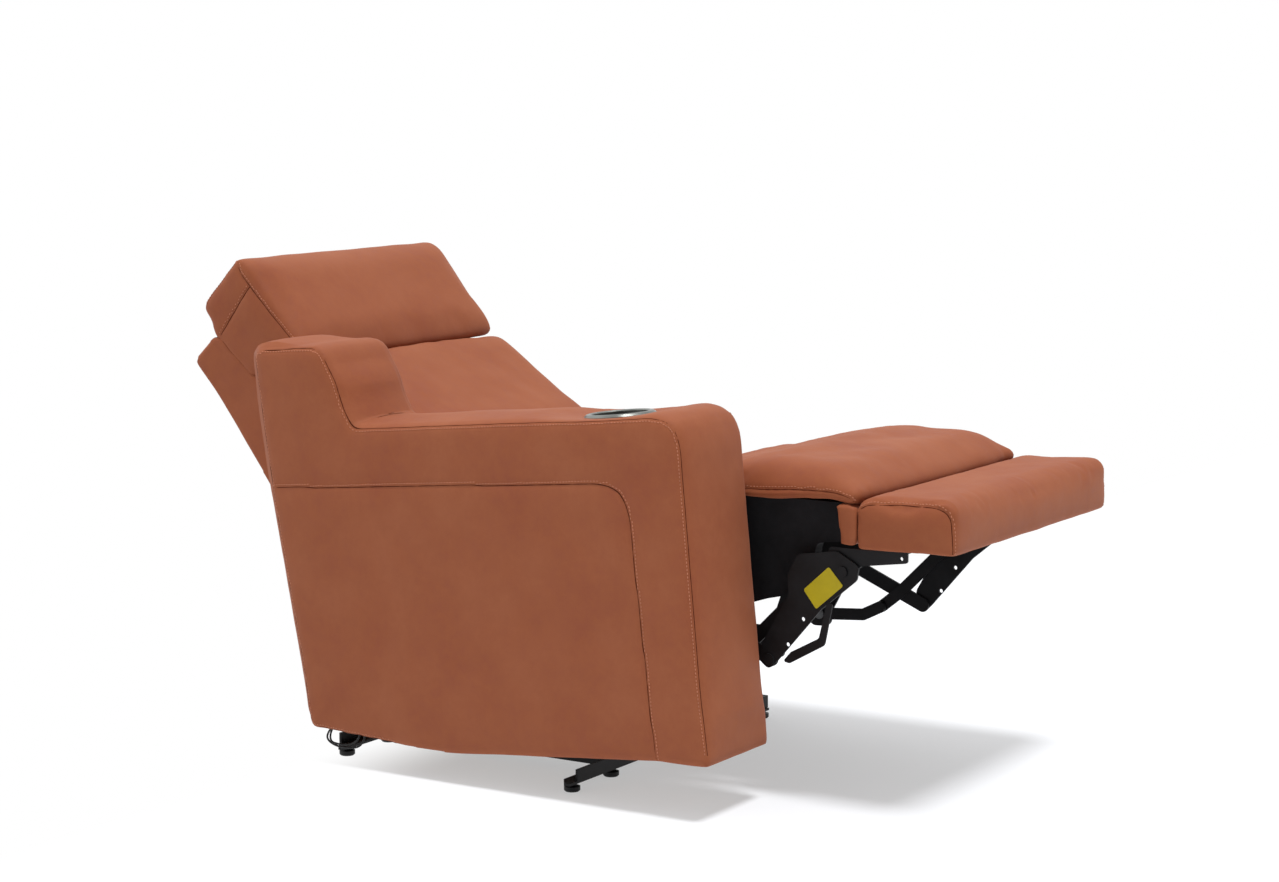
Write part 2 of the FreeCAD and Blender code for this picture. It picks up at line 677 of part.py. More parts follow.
def deck_z(y):
    """Height of the sloping seat deck at y."""
    share = (y - PAD_REAR_Y) / (BOX_REAR_Y - PAD_REAR_Y)
    return DECK_FRONT_TOP + (DECK_REAR_TOP - DECK_FRONT_TOP) * share


def box_side_outline():
    return [
        (BOX_FRONT_Y, BOX_TOP), (BOX_STEP_Y, BOX_TOP), (PAD_REAR_Y, deck_z(PAD_REAR_Y)),
        (BOX_REAR_Y, DECK_REAR_TOP),
        BOX_BOTTOM_REAR, BOX_BOTTOM_FRONT, (16, 306), (-50, 330), (-62, 398),
        (BOX_FRONT_Y - 8, APRON_BOTTOM),
    ]


def board_x():
    outer = SEAT_NEAR_X + BOX_INSET
    return outer, outer + RAIL_BOARD


def seat_box():
    """Boards of the seat: two cut sides, a front board, a middle board and a rear board."""
    x0, x1 = board_x()
    side = slab(box_side_outline(), x0, x1, [3, 0, 0, 3, 3, 60, 20, 6, 10, 3])
    side = drilled(side, BUSHES, x0, x1, BOLT_R)
    a, b = x1, 2 * SEAT_MIDDLE_X - x1
    front = box(a, b, BOX_FRONT_Y, BOX_FRONT_Y + RAIL_BOARD, APRON_BOTTOM + 2, BOX_TOP)
    middle = box(a, b, PAD_REAR_Y - RAIL_BOARD, PAD_REAR_Y, 350, deck_z(PAD_REAR_Y))
    rear = box(a, b, BOX_REAR_Y - RAIL_BOARD, BOX_REAR_Y, BOX_BOTTOM_REAR[1] + 4, DECK_REAR_TOP)
    return pair(side) + [front, middle, rear]


def side_cloths():
    """Black cloth stretched over the outside of the seat box."""
    x0 = board_x()[0]
    cloth = slab(box_side_outline(), x0 - CLOTH, x0, [3, 0, 0, 3, 3, 60, 20, 6, 10, 3])
    return pair(drilled(cloth, BUSHES, x0 - CLOTH, x0, BUSH_R))


def pad_deck():
    """Board under the knee pad."""
    x1 = board_x()[1]
    a, b = x1, 2 * SEAT_MIDDLE_X - x1
    front, rear = BOX_FRONT_Y + RAIL_BOARD, PAD_REAR_Y - RAIL_BOARD
    step = (BOX_STEP_Y, BOX_TOP)
    rear_top = along(step, (PAD_REAR_Y, deck_z(PAD_REAR_Y)),
                     (rear - BOX_STEP_Y) / (PAD_REAR_Y - BOX_STEP_Y))
    points = [(front, BOX_TOP), step, rear_top]
    return slab(points + [(y, z - BOARD_CORE) for y, z in reversed(points)], a, b)


def webbing():
    """Six woven straps from the middle board to the rear board, under the seat cushion."""
    straps = []
    a = board_x()[1]
    width = 2 * (SEAT_MIDDLE_X - a)
    top = 2.0
    y0, y1 = PAD_REAR_Y - RAIL_BOARD, BOX_REAR_Y
    for i in range(6):
        x = a + width * (i + 0.5) / 6
        straps.append(slab([(PAD_REAR_Y, deck_z(PAD_REAR_Y)), (PAD_REAR_Y, deck_z(PAD_REAR_Y) + top),
                            (y1, deck_z(y1) + top),
                            (y1, deck_z(y1))], x - 25, x + 25))
    return straps


def soft_x(inset=0.0):
    return SEAT_NEAR_X + SEAT_SIDE_GAP + inset, SEAT_FAR_X - SEAT_SIDE_GAP - inset


def front_apron():
    """Leather over the front board, seen between the seat pad and the footrest."""
    rear = BOX_FRONT_Y - SOFT_GAP
    return slab([(rear, BOX_TOP + 1), (rear - 8, APRON_BOTTOM + 1), (APRON_FRONT_Y, APRON_BOTTOM),
                 (APRON_FRONT_Y, BOX_TOP)],
                *soft_x(), [0, 0, 8, 8])


def front_pad():
    """Knee pad: crowned, with a nose that dips to the apron and a tuck at the seat cushion."""
    z = BOX_TOP + 3
    points = [(PAD_FRONT_Y + 10, z), (PAD_FRONT_Y, z + 20), (-100, 497), (30, PAD_CROWN - 5), (118, 503),
              (PAD_REAR_Y, 480),
              (PAD_REAR_Y, deck_z(PAD_REAR_Y) + 3), (BOX_STEP_Y, z)]
    return soft_loft(points, [3, 5, 4, 4, 4, 2, 0.01, 0.01], *soft_x(), 11)


def seat_cushion():
    """Seat cushion behind the pad, resting on the sloping webbing."""
    y0, y1 = CUSHION_FRONT_Y, CUSHION_REAR_Y
    points = [(y0, deck_z(y0) + 2.5), (y0, CUSHION_FRONT_TOP - 8), (y0 + 20, CUSHION_FRONT_TOP - 1),
              (250, 478), (366, 439),
              (y1 - 8, CUSHION_REAR_TOP), (y1, CUSHION_REAR_TOP - 14), (y1, deck_z(y1) + 2.5)]
    return soft_loft(points, [0.01, 2, 4, 4, 3, 2, 2, 0.01], *soft_x(), 8)


# Footrest linkage
def link_1():
    x0, x1 = layer(3)
    link = bar(LINK_1_REAR, LINK_1_FRONT, LINK_WIDTH, x0, x1)
    link = drilled(link, [LINK_1_REAR, LINK_1_CROSS], x0, x1, PIN_R + RUNNING)
    return link.fuse(rivet(LINK_1_FRONT, layer(2)[0] - 0.3, x0, True, False)).removeSplitter()


def link_2():
    """Lower link, jogged near its front end."""
    x0, x1 = layer(5)
    bend = along(LINK_2_REAR, LINK_3_REAR, 0.72)
    bend = (bend[0], bend[1] - 10)
    link = bar(LINK_2_REAR, bend, 20, x0, x1).fuse(bar(bend, LINK_3_REAR, 20, x0, x1)).removeSplitter()
    link = drilled(link, [LINK_2_REAR], x0, x1, PIN_R + RUNNING)
    return link.fuse(rod(LINK_3_REAR, x1, x1 + RIVET_HEAD, RIVET_HEAD_R)).removeSplitter()


def link_3():
    x0, x1 = layer(4)
    link = bar(LINK_3_REAR, LINK_1_CROSS, 20, x0,
               x1).fuse(bar(LINK_1_CROSS, LINK_3_FRONT, 20, x0, x1)).removeSplitter()
    link = link.fuse(rivet(LINK_1_CROSS, layer(3)[0] - 0.3, x0, False, False))
    return link.fuse(rod(LINK_3_FRONT, x1, x1 + RIVET_HEAD, RIVET_HEAD_R)).removeSplitter()


LONG_LINK_OUTLINE = [
    (-12, 216), (-86, 302), (-146, 352), (-150, 374), (-112, 394), (-70, 387), (-45, 384), (-28, 350),
    (-30, 320), (16, 240),
    (20, 212), (4, 200),
]


def long_link():
    """Long outer link: a bar that widens into a plate under the footrest."""
    x0, x1 = layer(2)
    link = slab(LONG_LINK_OUTLINE, x0, x1, [8, 0, 12, 10, 14, 0, 14, 14, 20, 10, 10, 8])
    link = drilled(link, [LINK_1_FRONT, FOOTREST_PIVOT], x0, x1, PIN_R + RUNNING)
    return drilled(link, [(-55, 284), (-29, 242)], x0, x1, 3.5)


def stop_arm():
    """Bent stop arm on the outside of the near long link."""
    x1 = layer(2)[0]
    points = [(-107, 312), (-98, 316), (-84, 258), (-36, 232), (-22, 216), (-34, 214), (-94, 248)]
    return slab(points, x1 - 3, x1, [3, 3, 8, 4, 3, 3, 10])


def footrest_bracket():
    """Cranked strap under the board, with the flange that is screwed to it."""
    x0, x1 = layer(3)
    strap = slab([(-138, 352), (-146, 373), (-228, 385), (-228, BOARD_BOTTOM - 3),
                  (-98, BOARD_BOTTOM - 3), (-92, 384), (-104, 354), (-120, 347)],
                 x0, x1, [10, 20, 4, 0, 4, 10, 12, 10])
    strap = drilled(strap, [(-218, 391)], x0, x1, 3)
    flange = box(x0, x0 + 34, -228, -168, BOARD_BOTTOM - 3, BOARD_BOTTOM)
    strap = strap.fuse(flange)
    strap = strap.fuse(rivet(FOOTREST_PIVOT, layer(2)[0] - 0.3, x0, True, False))
    return strap.removeSplitter()


BOARD_OUTLINE = [(BOARD_REAR_Y, BOARD_BOTTOM), (BOARD_REAR_Y, BOARD_TOP - 2),
                 (BOARD_FRONT_Y + 12, BOARD_TOP), (BOARD_FRONT_Y, BOARD_BOTTOM + 5)]
BOARD_RADII = [4, 10, 22, 8]
BAY_INSET = 20.0


def footrest_upholstery():
    """Leather over foam on the footrest board, with a bay below for the board."""
    x0, x1 = soft_x()
    pad = slab(BOARD_OUTLINE, x0, x1, BOARD_RADII)
    bay = box(x0 + BAY_INSET, x1 - BAY_INSET, BOARD_FRONT_Y + BAY_INSET, BOARD_REAR_Y - BAY_INSET,
              BOARD_BOTTOM - 10,
              BOARD_BOTTOM + BOARD_CORE + SOFT_GAP)
    return pad.cut(bay)


def footrest_core():
    x0, x1 = soft_x(BAY_INSET + SOFT_GAP)
    inset = BAY_INSET + SOFT_GAP
    return box(x0, x1, BOARD_FRONT_Y + inset, BOARD_REAR_Y - inset, BOARD_BOTTOM,
               BOARD_BOTTOM + BOARD_CORE)


# Back
def back_point(up, forward):
    """A point given by its way up the reclined cushion's face and its distance in front of it."""
    a = math.radians(BACK_ANGLE)
    y = BACK_FOOT[0] + up * math.cos(a) - forward * math.sin(a)
    return y, BACK_FOOT[1] + up * math.sin(a) + forward * math.cos(a)


SHELL_REAR = from_top((106.5, -38.3), (172.5, 20.7), (188.5, 19.7), (231.5, -22.3), (77.5, -223.3))
SHELL_FOOT = [(900, 318), (730, 296), (640, 312), (612, 342), (700, 388)]
SHELL_OUTLINE = SHELL_REAR + SHELL_FOOT + from_top((54.5, -91.3))
SHELL_RADII = [0, 6, 6, 12, 30, 30, 60, 16, 10, 20, 0]


def back_x():
    return SEAT_NEAR_X + BACK_GAP, SEAT_FAR_X - BACK_GAP


def back_shell():
    """Padded rear shell: back, top and sides. It is open in front and below."""
    x0, x1 = back_x()
    shell = slab(SHELL_OUTLINE, x0, x1, SHELL_RADII)
    hollow = inset_slab(SHELL_OUTLINE, SHELL_RADII, SHELL_WALL, x0 + SHELL_WALL, x1 - SHELL_WALL)
    mouth = [(590, 300), (590, 352)] + from_top((46.5, -68.3), (102.5, -30.3),
                                                (96.5, -74.3)) + [(900, 400), (720, 318)]
    front = slab(mouth, x0 + SHELL_WALL, x1 - SHELL_WALL)
    shell = shell.cut(hollow).cut(front)
    half = MOTOR_CASE / 2 + 6
    (y0, z0), (y1, z1) = from_top((56.5, -104.3), (142.5, 5.7))
    shell = shell.cut(box(SEAT_MIDDLE_X - half, SEAT_MIDDLE_X + half, y0, y1, z0, z1))
    for space in pair(hinge_arm_space(1.0)):
        shell = shell.cut(space)
    return shell


def iron_bend():
    return (690.0, 352.0), (850.0, 446.0)


def back_iron():
    """Steel strap from the back frame's side board down to the hinge on the seat plate."""
    x0, x1 = layer(3)
    low, high = iron_bend()
    iron = bar(BACK_PIVOT, low, 32, x0, x1).fuse(bar(low, high, 32, x0, x1)).removeSplitter()
    return drilled(iron, [BACK_PIVOT], x0, x1, PIN_R + RUNNING)


def frame_board_x():
    x0 = layer(3)[1] + SOFT_GAP
    return x0, x0 + 18


def back_frame():
    """Wooden frame in the shell: two side boards and three cross rails."""
    x0, x1 = frame_board_x()
    gap = SHELL_WALL + SOFT_GAP
    outer = inset_slab(SHELL_OUTLINE, SHELL_RADII, gap, x0, x1)
    inner = inset_slab(SHELL_OUTLINE, SHELL_RADII, gap + 30, x0 - 1, x1 + 1)
    board = outer.cut(inner)
    a, b = x1, 2 * SEAT_MIDDLE_X - x1
    (top_y, top_z), = from_top((192.5, -34.3))
    places = ((662, 340, 0), (800, 340, 0), (top_y, top_z, 52))
    rails = [turned(box(a, b, y - 20, y + 20, z - 9, z + 9), (y, z), turn) for y, z, turn in places]
    return pair(board) + rails


def cushion_points():
    return [
        back_point(10, -14), back_point(2, -4), back_point(24, -2), back_point(230, 0),
        back_point(BACK_LENGTH - 12, -4),
        back_point(BACK_LENGTH - 2, -12), *from_top((98.5, -36.3)),
        back_point(BACK_LENGTH - 10, -BACK_CUSHION + 2),
        back_point(200, -66), back_point(50, -58),
    ]


def back_cushion():
    """Back cushion: crowned, with its sides drawn in, and grooves for the headrest's hinge."""
    cushion = soft_loft(cushion_points(), [1, 2, 4, 4, 2, 2, 0.01, 0.01, 0.01, 1], *back_x(), 8)
    x0 = frame_board_x()[1] - 1
    cushion = cushion.cut(rod(HEADREST_PIVOT, x0, 2 * SEAT_MIDDLE_X - x0, HINGE_EYE_R + 1))
    for space in pair(hinge_arm_space(1.0)):
        cushion = cushion.cut(space)
    half = MOTOR_CASE / 2 + 6
    passage = from_top((-19.5, -134.3), (-19.5, -108.3), (58.5, -30.3), (58.5, 15.7),
                       (126.5, 15.7), (126.5, -134.3))
    return cushion.cut(slab(passage, SEAT_MIDDLE_X - half, SEAT_MIDDLE_X + half))


HINGE_EYE_R = 7.0
HINGE_PLATE = 3.0
HINGE_KNEE, HINGE_FOOT = from_top((106.5, -54.3), (156.5, -30.3))


def hinge_arm_space(gap):
    """The bent arm of the headrest hinge, made larger all round by the gap."""
    x0 = frame_board_x()[1]
    low, high = x0 - gap, x0 + HINGE_PLATE + gap
    width = 2 * (HINGE_EYE_R + gap)
    return bar(HEADREST_PIVOT, HINGE_KNEE, width, low,
               high).fuse(bar(HINGE_KNEE, HINGE_FOOT, width, low, high))


def headrest_hinge():
    """Two arms from the back's side boards, and the pin across between them."""
    arms = [drilled(arm.removeSplitter(), [HEADREST_PIVOT], -400, 400,
                    HINGE_PIN_R) for arm in pair(hinge_arm_space(0))]
    x0 = frame_board_x()[1]
    return arms + [rod(HEADREST_PIVOT, x0, 2 * SEAT_MIDDLE_X - x0, HINGE_PIN_R)]


HEADREST_OUTLINE = from_top((129.5, 168.7), (206.5, 84.7), (166.5, 30.7), (104.5, -29.3), (5.5, 15.7))
HEADREST_RADII = [14, 14, 10, 10, 12]
HEADREST_BOARD = from_top((32.5, 6.7), (32.5, 18.7), (109.5, -16.1), (109.5, -28.1))


def headrest_cushion():
    """Headrest: a thick wedge with soft corners and a bay for its board."""
    x0, x1 = back_x()
    cushion = slab(HEADREST_OUTLINE, x0, x1, HEADREST_RADII)
    bay = slab(from_top((32.0, -34.3), (32.0, 19.3), (117.0, -18.7), (117.0, -64.3)), x0 + 40, x1 - 40)
    return cushion.cut(bay)


def headrest_board():
    x0, x1 = back_x()
    return slab(HEADREST_BOARD, x0 + 40 + SOFT_GAP, x1 - 40 - SOFT_GAP)


def headrest_leaf():
    """Leaf under the board, with the eye that turns on the hinge pin."""
    x0 = SEAT_MIDDLE_X - 170
    outline_points = from_top((20.5, -3.3), (32.5, 1.7), (33.1, 6.1), (82.5, -16.1), (82.5, -23.3),
                              (38.5, -6.3))
    leaf = slab(outline_points, x0, x0 + 24)
    leaf = leaf.fuse(rod(HEADREST_PIVOT, x0, x0 + 24, HINGE_EYE_R)).removeSplitter()
    return drilled(leaf, [HEADREST_PIVOT], x0, x0 + 24, HINGE_PIN_R + RUNNING)


def headrest_lug():
    """Pair of ears under the headrest board that the headrest motor pushes on."""
    y, z = HEAD_ROD_EYE
    ears = []
    for x0 in (SEAT_MIDDLE_X - 14, SEAT_MIDDLE_X + 11):
        ear = slab(from_top((78.5, -14.3), (109.5, -28.3)) + [(y + 12, z - 2), (y + 6, z - 11),
                                                              (y - 6, z - 11), (y - 12, z)],
                   x0, x0 + HINGE_PLATE, [0, 0, 6, 6, 6, 6])
        ears.append(drilled(ear, [HEAD_ROD_EYE], x0, x0 + HINGE_PLATE, HINGE_PIN_R + 3))
    return ears


# Motors
def along_motor(eye, tip, shapes):
    """Turn shapes drawn along +Y from the origin so that they run from the eye to the tip."""
    degrees = math.degrees(math.atan2(tip[1] - eye[1], tip[0] - eye[0]))
    out = []
    for shape in shapes:
        shape.rotate(V(0, 0, 0), ACROSS, degrees)
        shape.translate(V(SEAT_MIDDLE_X, eye[0], eye[1]))
        out.append(shape)
    return out


def lengthwise(x, y0, y1, radius):
    return Part.makeCylinder(radius, y1 - y0, V(x, y0, 0), V(0, 1, 0))


def motor_housing(eye, tip, case, tube_r, tube_length, rod_r, can_r, can_length, side, pin_r):
    """Spindle tube with its eye, gearbox and motor can, in one casing."""
    half = case / 2 - 1
    body = lengthwise(0, 14, tube_length, tube_r)
    body = body.fuse(rod((0, 0), -half, half, 12)).fuse(box(-half, half, 0, 22, -11, 11))
    reach = side * (half + can_r + 6)
    low, high = sorted((0, reach))
    gearbox = box(low - 14, high + 14, 22, 54, -can_r, can_r)
    gearbox = gearbox.makeFillet(4, [e for e in gearbox.Edges if abs(e.BoundBox.YLength - 32) < 0.1])
    body = body.fuse(gearbox).fuse(lengthwise(reach, 54, 54 + can_length, can_r - 1)).removeSplitter()
    body = body.cut(lengthwise(0, 27, tube_length + 1, rod_r + RUNNING))
    body = body.cut(rod((0, 0), -half - 1, half + 1, pin_r + RUNNING))
    return along_motor(eye, tip, [body])[0]


def motor_rod(eye, tip, start, rod_r, eye_r, eye_half, pin_r, pin_half):
    """Push rod with the cross pin at its tip."""
    length = math.dist(eye, tip)
    body = lengthwise(0, start, length, rod_r)
    body = body.fuse(rod((length, 0), -eye_half, eye_half, eye_r)).fuse(rod((length, 0), -pin_half,
                                                                            pin_half, pin_r))
    return along_motor(eye, tip, [body.removeSplitter()])[0]


def recline_motor():
    return motor_housing(RECLINE_MOTOR_EYE, RECLINE_ROD_EYE, MOTOR_CASE, MOTOR_TUBE_R, 220, ROD_R, 21,
                         100, 1, PIN_R)


def recline_rod():
    return motor_rod(RECLINE_MOTOR_EYE, RECLINE_ROD_EYE, 160, ROD_R, 11, MOTOR_CASE / 2 - 2, PIN_R,
                     MOTOR_CASE / 2 + PLATE + 2)


def head_motor():
    return motor_housing(HEAD_MOTOR_EYE, HEAD_ROD_EYE, MOTOR_CASE, 13, 190, 7, 18, 80, -1, PIN_R)


def head_rod():
    return motor_rod(HEAD_MOTOR_EYE, HEAD_ROD_EYE, 120, 7, 8.5, 9, HINGE_PIN_R, 16)


def head_motor_clevis():
    """Ears on the lower rail of the back frame, and the pin that the headrest motor turns on."""
    y, z = HEAD_MOTOR_EYE
    half = MOTOR_CASE / 2
    ears = [slab([(y - 16, 349), (y - 12, z + 10), (y + 12, z + 10), (y + 16, 349)], x0, x0 + PLATE,
                 [0, 11, 11, 0])
            for x0 in (SEAT_MIDDLE_X - half - PLATE, SEAT_MIDDLE_X + half)]
    ears = [drilled(e, [HEAD_MOTOR_EYE], -400, 400, PIN_R) for e in ears]
    return ears + [rivet(HEAD_MOTOR_EYE, SEAT_MIDDLE_X - half - PLATE, SEAT_MIDDLE_X + half + PLATE,
                         True, True)]


# Leads that hang in loops from the arm's underside
LEAD_R = 1.6
LEAD_X = ARM_OUTER_X + 21.5
LOOP_A = [(709, 61), (722, 49), (727, 34), (708, 25), (684, 25), (661, 28), (648, 44), (646, 66)]
LOOP_B = [(706, 61), (715, 50), (716, 32), (698, 30), (683, 30.5), (665, 36), (654.5, 50), (654, 66)]


def arc_middle(start, tangent, end):
    """Middle of the arc that leaves start along the tangent and ends at end."""
    chord = end - start
    side = (tangent - chord * (tangent.dot(chord) / chord.dot(chord))).normalize()
    return (start + end) * 0.5 + side * (chord.Length / 2 * math.tan(tangent.getAngle(chord) / 2))


def biarc(start, first_way, end, last_way):
    """Two arcs that leave start one way and reach end the other way, with one tangent where they meet."""
    run = end - start
    ways = first_way + last_way
    bend = 2 * (1 - first_way.dot(last_way))
    reach = (math.sqrt(run.dot(ways) ** 2 + bend * run.dot(run)) - run.dot(ways)) / bend
    meet = (start + first_way * reach + end - last_way * reach) * 0.5
    return [
        Part.Arc(start, arc_middle(start, first_way, meet), meet).toShape(),
        Part.Arc(meet, arc_middle(end, last_way * -1, meet), end).toShape(),
    ]


def lead(points, x):
    """A round lead whose path touches each stretch between its inner points at the middle."""
    route = [V(x, y, z) for y, z in points]
    touch = [(a + b) * 0.5 for a, b in zip(route[1:], route[2:-1])]
    stops = [route[0]] + touch + [route[-1]]
    ways = [(b - a).normalize() for a, b in zip(route, route[1:])]
    edges = []
    for i in range(len(stops) - 1):
        edges += biarc(stops[i], ways[i], stops[i + 1], ways[i + 1])
    ring = Part.Wire([Part.makeCircle(LEAD_R, route[0], ways[0])])
    return Part.Wire(edges).makePipeShell([ring], True, False)


def lead_clip(y0, y1, z0, z1):
    """Saddle on the lower edge of the arm's outer board, open below for the two leads."""
    half = 2 + LEAD_R + SOFT_GAP
    saddle = box(LEAD_X - half - 1.2, LEAD_X + half + 1.2, y0, y1, z0, z1)
    return saddle.cut(box(LEAD_X - half, LEAD_X + half, y0 - 1, y1 + 1, z0 - 1, z1 - 2))


def save_all():
    os.makedirs("parts", exist_ok=True)
    outer, inner, ring = arm_boards()
    save("arm_upholstery", arm_upholstery())
    save("arm_outer_board", outer)
    save("arm_inner_board", inner)
    save("arm_rail_ring", ring)
    save("cup_holder", cup_holder())
    save("switch_panel", switch_panel())
    names = ("button_recline", "button_upright", "button_head_up", "button_head_down")
    for name, place in zip(names, button_places()):
        save(name, button(place))
    save("carriage_plates", *pair(carriage_plate()))
    save("carriage_rivets", *[s for p in carriage_pins() for s in pair(p)])
    save("tilt_axle", carriage_tube(TILT_AXLE))
    save("carriage_tubes", carriage_tube(REAR_TUBE), carriage_tube(FRONT_TUBE))
    save("lift_lugs", *lift_lugs())
    save("arm_bolts", *[arm_bolt(p) for p in ARM_BOLTS])
    save("motor_clevis", *motor_clevis())
    save("glide_feet", *[glide(x, y) for x, y in glide_places()])
    save("crossbars", crossbar(FRONT_BAR_Y, -1), crossbar(REAR_BAR_Y, 1))
    save("side_rails", side_rail(NEAR_RAIL_X), side_rail(FAR_RAIL_X))
    save("rail_ends", *(rail_end(NEAR_RAIL_X) + rail_end(FAR_RAIL_X)))
    save("axle_brackets", axle_bracket(NEAR_RAIL_X + 14), axle_bracket(FAR_RAIL_X - 2))
    save("lift_brackets", *[lift_bracket(x) for x in lift_lug_x()])
    save("lift_links", *[lift_link(x) for x in lift_lug_x()])
    save("rear_swing_links", *pair(rear_swing()))
    save("front_swing_links", *pair(front_swing()))
    save("seat_plates", *pair(seat_plate()))
    save("seat_rivets", *[s for p in seat_pins() for s in pair(p)])
    save("seat_bushes", *[s for p in BUSHES for s in pair(seat_bush(p))])
    save("seat_tubes", seat_tube(SEAT_FRONT_TUBE), seat_tube(SEAT_REAR_TUBE))
    save("seat_motor_fork", *seat_motor_fork())
    save("seat_box", *seat_box(), pad_deck())
    save("seat_side_cloths", *side_cloths())
    save("seat_webbing", *webbing())
    save("front_apron", front_apron())
    save("front_pad", front_pad())
    save("seat_cushion", seat_cushion())
    save("footrest_upper_links", *pair(link_1()))
    save("footrest_lower_links", *pair(link_2()))
    save("footrest_guide_links", *pair(link_3()))
    save("footrest_long_links", *pair(long_link()))
    save("footrest_stop_arm", stop_arm())
    save("footrest_brackets", *pair(footrest_bracket()))
    save("footrest_core", footrest_core())
    save("footrest_upholstery", footrest_upholstery())
    save("back_shell", back_shell())
    save("back_frame", *back_frame())
    save("back_irons", *pair(back_iron()))
    save("back_cushion", back_cushion())
    save("headrest_cushion", headrest_cushion())
    save("headrest_hinge", *headrest_hinge())
    save("headrest_board", headrest_board())
    save("headrest_leaves", *(pair(headrest_leaf()) + headrest_lug()))
    save("recline_motor", recline_motor())
    save("recline_motor_rod", recline_rod())
    save("headrest_motor_ears", *head_motor_clevis())
    save("headrest_motor", head_motor())
    save("headrest_motor_rod", head_rod())
    save("arm_leads", lead(LOOP_A, LEAD_X + 2), lead(LOOP_B, LEAD_X - 2))
    save("lead_clips", lead_clip(702, 713, 59, 64.4), lead_clip(641, 660, 63, 70.4))


if __name__ == "__main__":
    save_all()
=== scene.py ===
import json
import math

import bmesh
import bpy
import numpy as np
from mathutils import Matrix, Vector
from mathutils.bvhtree import BVHTree


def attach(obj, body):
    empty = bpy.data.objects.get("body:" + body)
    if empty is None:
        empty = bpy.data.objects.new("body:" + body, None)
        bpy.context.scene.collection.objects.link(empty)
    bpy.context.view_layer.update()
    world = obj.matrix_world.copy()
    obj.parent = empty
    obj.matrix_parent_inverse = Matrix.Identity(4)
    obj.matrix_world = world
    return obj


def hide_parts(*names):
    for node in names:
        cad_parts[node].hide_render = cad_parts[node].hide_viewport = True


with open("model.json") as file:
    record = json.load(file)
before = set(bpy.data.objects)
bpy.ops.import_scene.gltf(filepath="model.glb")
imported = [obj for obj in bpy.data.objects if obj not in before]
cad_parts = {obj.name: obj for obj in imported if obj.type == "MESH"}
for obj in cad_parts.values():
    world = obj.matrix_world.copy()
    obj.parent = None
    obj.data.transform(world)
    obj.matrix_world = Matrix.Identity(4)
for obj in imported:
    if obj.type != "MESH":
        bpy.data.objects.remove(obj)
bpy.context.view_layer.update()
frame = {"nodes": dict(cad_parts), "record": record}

# The chair is drawn in millimetres with y = 0 at the foot of the arm's front, as its maker would.
MM = 0.001
MIDDLE_Y = 404.0
ARM_OUTER_X, SEAT_NEAR_X, SEAT_FAR_X = -371.5, -188.5, 371.5
TILT_AXLE = (719.0, 80.0)
TILT = 5.57
ARM_MIDDLE_X = -280.0
SEAT_MIDDLE_X = 91.0
CUP_Y = 158.0
PATCH_X = -173.7            # outer face of the near long link
LEAD_THICK = 3.2


def put(name, data):
    """An object of that name in the scene."""
    obj = bpy.data.objects.new(name, data)
    bpy.context.scene.collection.objects.link(obj)
    return obj


def mesh_from(shape, name):
    """The bmesh as a mesh of that name. The bmesh is freed."""
    mesh = bpy.data.meshes.new(name)
    shape.to_mesh(mesh)
    shape.free()
    return mesh


def place(x, y, z):
    return Vector((x * MM, (y - MIDDLE_Y) * MM, z * MM))


def turned(y, z, degrees):
    """(y, z) turned about the tilt axle."""
    a = math.radians(degrees)
    dy, dz = y - TILT_AXLE[0], z - TILT_AXLE[1]
    return (TILT_AXLE[0] + dy * math.cos(a) - dz * math.sin(a),
            TILT_AXLE[1] + dy * math.sin(a) + dz * math.cos(a))


def arm_place(x, y, z):
    """A point of the level arm, leaned back with the arm."""
    return place(x, *turned(y, z, -TILT))


def grade(value, start, run):
    """0 where value is at start or under it, rising evenly to 1 over the run."""
    return np.clip((value - start) / run, 0, 1)


# Camera
def set_camera():
    """The place that the photograph was taken from, as it was fitted to it."""
    camera = put("studio_camera", bpy.data.cameras.new("studio_camera"))
    azimuth, rise = math.radians(-57.87), math.radians(7.57)
    back = Vector((math.sin(azimuth) * math.cos(rise), -math.cos(azimuth) * math.cos(rise), math.sin(rise)))
    right = Vector((math.cos(azimuth), math.sin(azimuth), 0))
    turn = Matrix((right, back.cross(right), back)).transposed().to_4x4()
    camera.matrix_world = Matrix.Translation((-3.9322, -2.5271, 1.1260)) @ turn
    camera.data.lens = 80.86
    camera.data.sensor_width = 36
    bpy.context.scene.camera = camera


# Materials
def linear(hex_colour):
    out = []
    for i in (0, 2, 4):
        c = int(hex_colour[i:i + 2], 16) / 255
        out.append(c / 12.92 if c <= 0.04045 else ((c + 0.055) / 1.055) ** 2.4)
    return (*out, 1.0)


def add(tree, kind, settings=None, **links):
    """Add a node. Settings go to its sockets or its own properties, links to its sockets: i2 is socket 2."""
    node = tree.nodes.new(kind)
    for key, value in (settings or {}).items():
        if isinstance(key, int) or key in node.inputs:
            node.inputs[key].default_value = value
        else:
            setattr(node, key, value)
    for key, socket in links.items():
        name = key.replace("_", " ")
        target = node.inputs[int(key[1:])] if key[1:].isdigit() else node.inputs[name]
        tree.links.new(socket, target)
    return node


def finish_named(name):
    material = bpy.data.materials.new(name)
    material.use_nodes = True
    tree = material.node_tree
    tree.nodes.clear()
    shader = add(tree, "ShaderNodeBsdfPrincipled")
    add(tree, "ShaderNodeOutputMaterial", Surface=shader.outputs["BSDF"])
    return material, tree, shader


def spots(tree, where, size_mm, detail=2.0, roughness=0.5):
    """Noise whose patches are about size_mm across."""
    return add(tree, "ShaderNodeTexNoise",
               {"Scale": 1000.0 / size_mm, "Detail": detail, "Roughness": roughness}, Vector=where)


def grey(value):
    return value, value, value, 1


